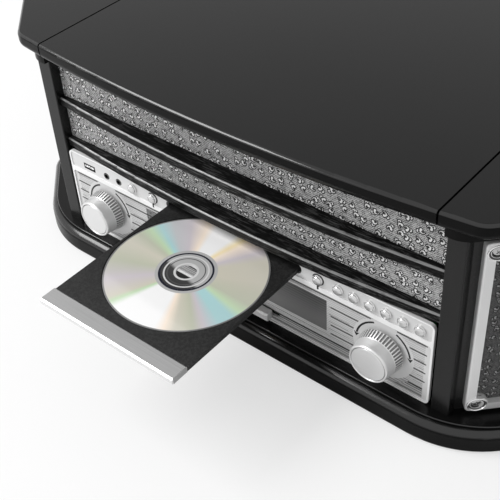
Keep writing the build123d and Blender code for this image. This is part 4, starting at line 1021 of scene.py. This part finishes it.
class MUSIC_OT_sockets(bpy.types.Operator):
    """Adds the pale tongue of the data socket and the rims of the jacks"""
    bl_idname = "music.sockets"
    bl_label = "Socket details"

    def execute(self, context):
        low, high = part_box("front_sockets")
        at = middle("front_sockets")
        tongue = block((low.x + 7.2 * MM, FACE_Y + 0.55 * MM, at.z + 0.95 * MM),
                       (10.4 * MM, 0.5 * MM, 1.8 * MM), 0.12 * MM, 2)
        finish_piece(tongue, "socket_tongue", "cabinet",
                     grained_plastic("Tongue white", 220, rough=0.4, deep=0.00002), "white_nylon")
        jack_radius, rim_width, rim_lift = 2.35 * MM, 0.8 * MM, 0.25 * MM
        rims = [ring_band((high.x - inside * MM, FACE_Y + 0.62 * MM, at.z), jack_radius, rim_width,
                          rim_lift, sides=40) for inside in (18.3, 4.5)]
        finish_piece(join(rims), "jack_rims", "cabinet", bright_metal("Jack rim", 90, rough=0.3),
                     "steel_parts")
        return {"FINISHED"}


class MUSIC_OT_stage(bpy.types.Operator):
    """Sets the pale floor, the soft lamp, the room light and the camera"""
    bl_idname = "music.stage"
    bl_label = "Stage"

    def execute(self, context):
        stage = context.scene.music_stage
        floor_size, lamp_distance = 14, 2.2
        lamp_way, lamp_along = Vector((-0.54, -0.45, 0.71)), Vector((0, 0.96, 0.25))
        deselect()
        bpy.ops.mesh.primitive_plane_add(size=floor_size, location=(0, 0, 0))
        floor = context.object
        floor.name = "floor"
        made, shader, place = new_material("Floor", stage.floor_colour, 0.7, Specular_IOR_Level=0.2)
        clouds = place.noise(1.5, 2.0)
        shade = tuple(value * 0.985 for value in stage.floor_colour)
        feed(shader, Base_Color=clouds.mix(shade, tuple(stage.floor_colour)))
        tree = made.node_tree
        seen = place.node("LightPath", out="Is Camera Ray")
        glow = place.node("Emission", None, {"Color": (1, 1, 1, 1), "Strength": 1.0})
        blend = place.node("MixShader", None, {0: seen * 0.6, 1: Link(tree, shader.outputs[0]),
                                               2: glow})
        tree.links.new(blend.socket, tree.nodes["Material Output"].inputs["Surface"])
        floor.data.materials.append(made)

        world = bpy.data.worlds.new("Room")
        world.use_nodes = True
        context.scene.world = world
        back = world.node_tree.nodes["Background"]
        rays = Link(world.node_tree).node("LightPath").socket.node
        camera_ray, glossy_ray, clear_ray = (
            Link(world.node_tree, rays.outputs[name])
            for name in ("Is Camera Ray", "Is Glossy Ray", "Is Transmission Ray"))
        white = camera_ray.larger(glossy_ray).larger(clear_ray)
        strength = white * (1.0 - stage.fill) + stage.fill
        back.inputs["Color"].default_value = (1, 1, 1, 1)
        world.node_tree.links.new(strength.socket, back.inputs["Strength"])

        back_axis = lamp_way.normalized()
        side_axis = lamp_along.cross(back_axis).normalized()
        long_axis = back_axis.cross(side_axis)
        turn = Matrix((side_axis, long_axis, back_axis)).transposed().to_euler()
        deselect()
        bpy.ops.object.light_add(type="AREA", location=back_axis * lamp_distance, rotation=turn)
        lamp = context.object
        lamp.name = "Softbox"
        lamp.data.shape = "RECTANGLE"
        lamp.data.size = 0.9
        lamp.data.size_y = 1.5
        lamp.data.energy = stage.key_power

        deselect()
        bpy.ops.object.camera_add(location=stage.camera_place, rotation=stage.camera_turn)
        camera = context.object
        camera.name = "Camera"
        camera.data.lens = stage.lens
        camera.data.sensor_width = 36
        camera.data.clip_start = 0.01
        context.scene.camera = camera
        context.scene.view_settings.view_transform = "Standard"
        return {"FINISHED"}


PIECES = (MUSIC_OT_cabinet, MUSIC_OT_cloth, MUSIC_OT_front, MUSIC_OT_loader, MUSIC_OT_deck,
          MUSIC_OT_knobs, MUSIC_OT_buttons, MUSIC_OT_marks, MUSIC_OT_mask, MUSIC_OT_lines,
          MUSIC_OT_slider, MUSIC_OT_screws, MUSIC_OT_bosses, MUSIC_OT_sockets, MUSIC_OT_stage)


class MUSIC_PT_panel(bpy.types.Panel):
    """Lists the pieces and their settings"""
    bl_label = "Music system"
    bl_idname = "MUSIC_PT_panel"
    bl_space_type = "VIEW_3D"
    bl_region_type = "UI"
    bl_category = "Music system"

    def draw(self, context):
        for settings in ("music_finish", "music_controls", "music_stage"):
            group = getattr(context.scene, settings)
            for name in group.bl_rna.properties.keys():
                if name not in ("rna_type", "name"):
                    self.layout.prop(group, name)
        for piece in PIECES:
            self.layout.operator(piece.bl_idname)


CLASSES = (FinishSettings, ControlSettings, StageSettings) + PIECES + (MUSIC_PT_panel,)


def register():
    for made in CLASSES:
        bpy.utils.register_class(made)
    bpy.types.Scene.music_finish = PointerProperty(type=FinishSettings)
    bpy.types.Scene.music_controls = PointerProperty(type=ControlSettings)
    bpy.types.Scene.music_stage = PointerProperty(type=StageSettings)


def unregister():
    del bpy.types.Scene.music_stage
    del bpy.types.Scene.music_controls
    del bpy.types.Scene.music_finish
    for made in reversed(CLASSES):
        bpy.utils.unregister_class(made)


def main():
    register()
    bpy.ops.music.cabinet()
    bpy.ops.music.cloth()
    bpy.ops.music.front()
    bpy.ops.music.loader()
    bpy.ops.music.deck()
    bpy.ops.music.knobs()
    bpy.ops.music.buttons()
    bpy.ops.music.marks()
    bpy.ops.music.mask()
    bpy.ops.music.lines()
    bpy.ops.music.slider()
    bpy.ops.music.screws()
    bpy.ops.music.bosses()
    bpy.ops.music.sockets()
    bpy.ops.music.stage()


if __name__ == "__main__":
    main()
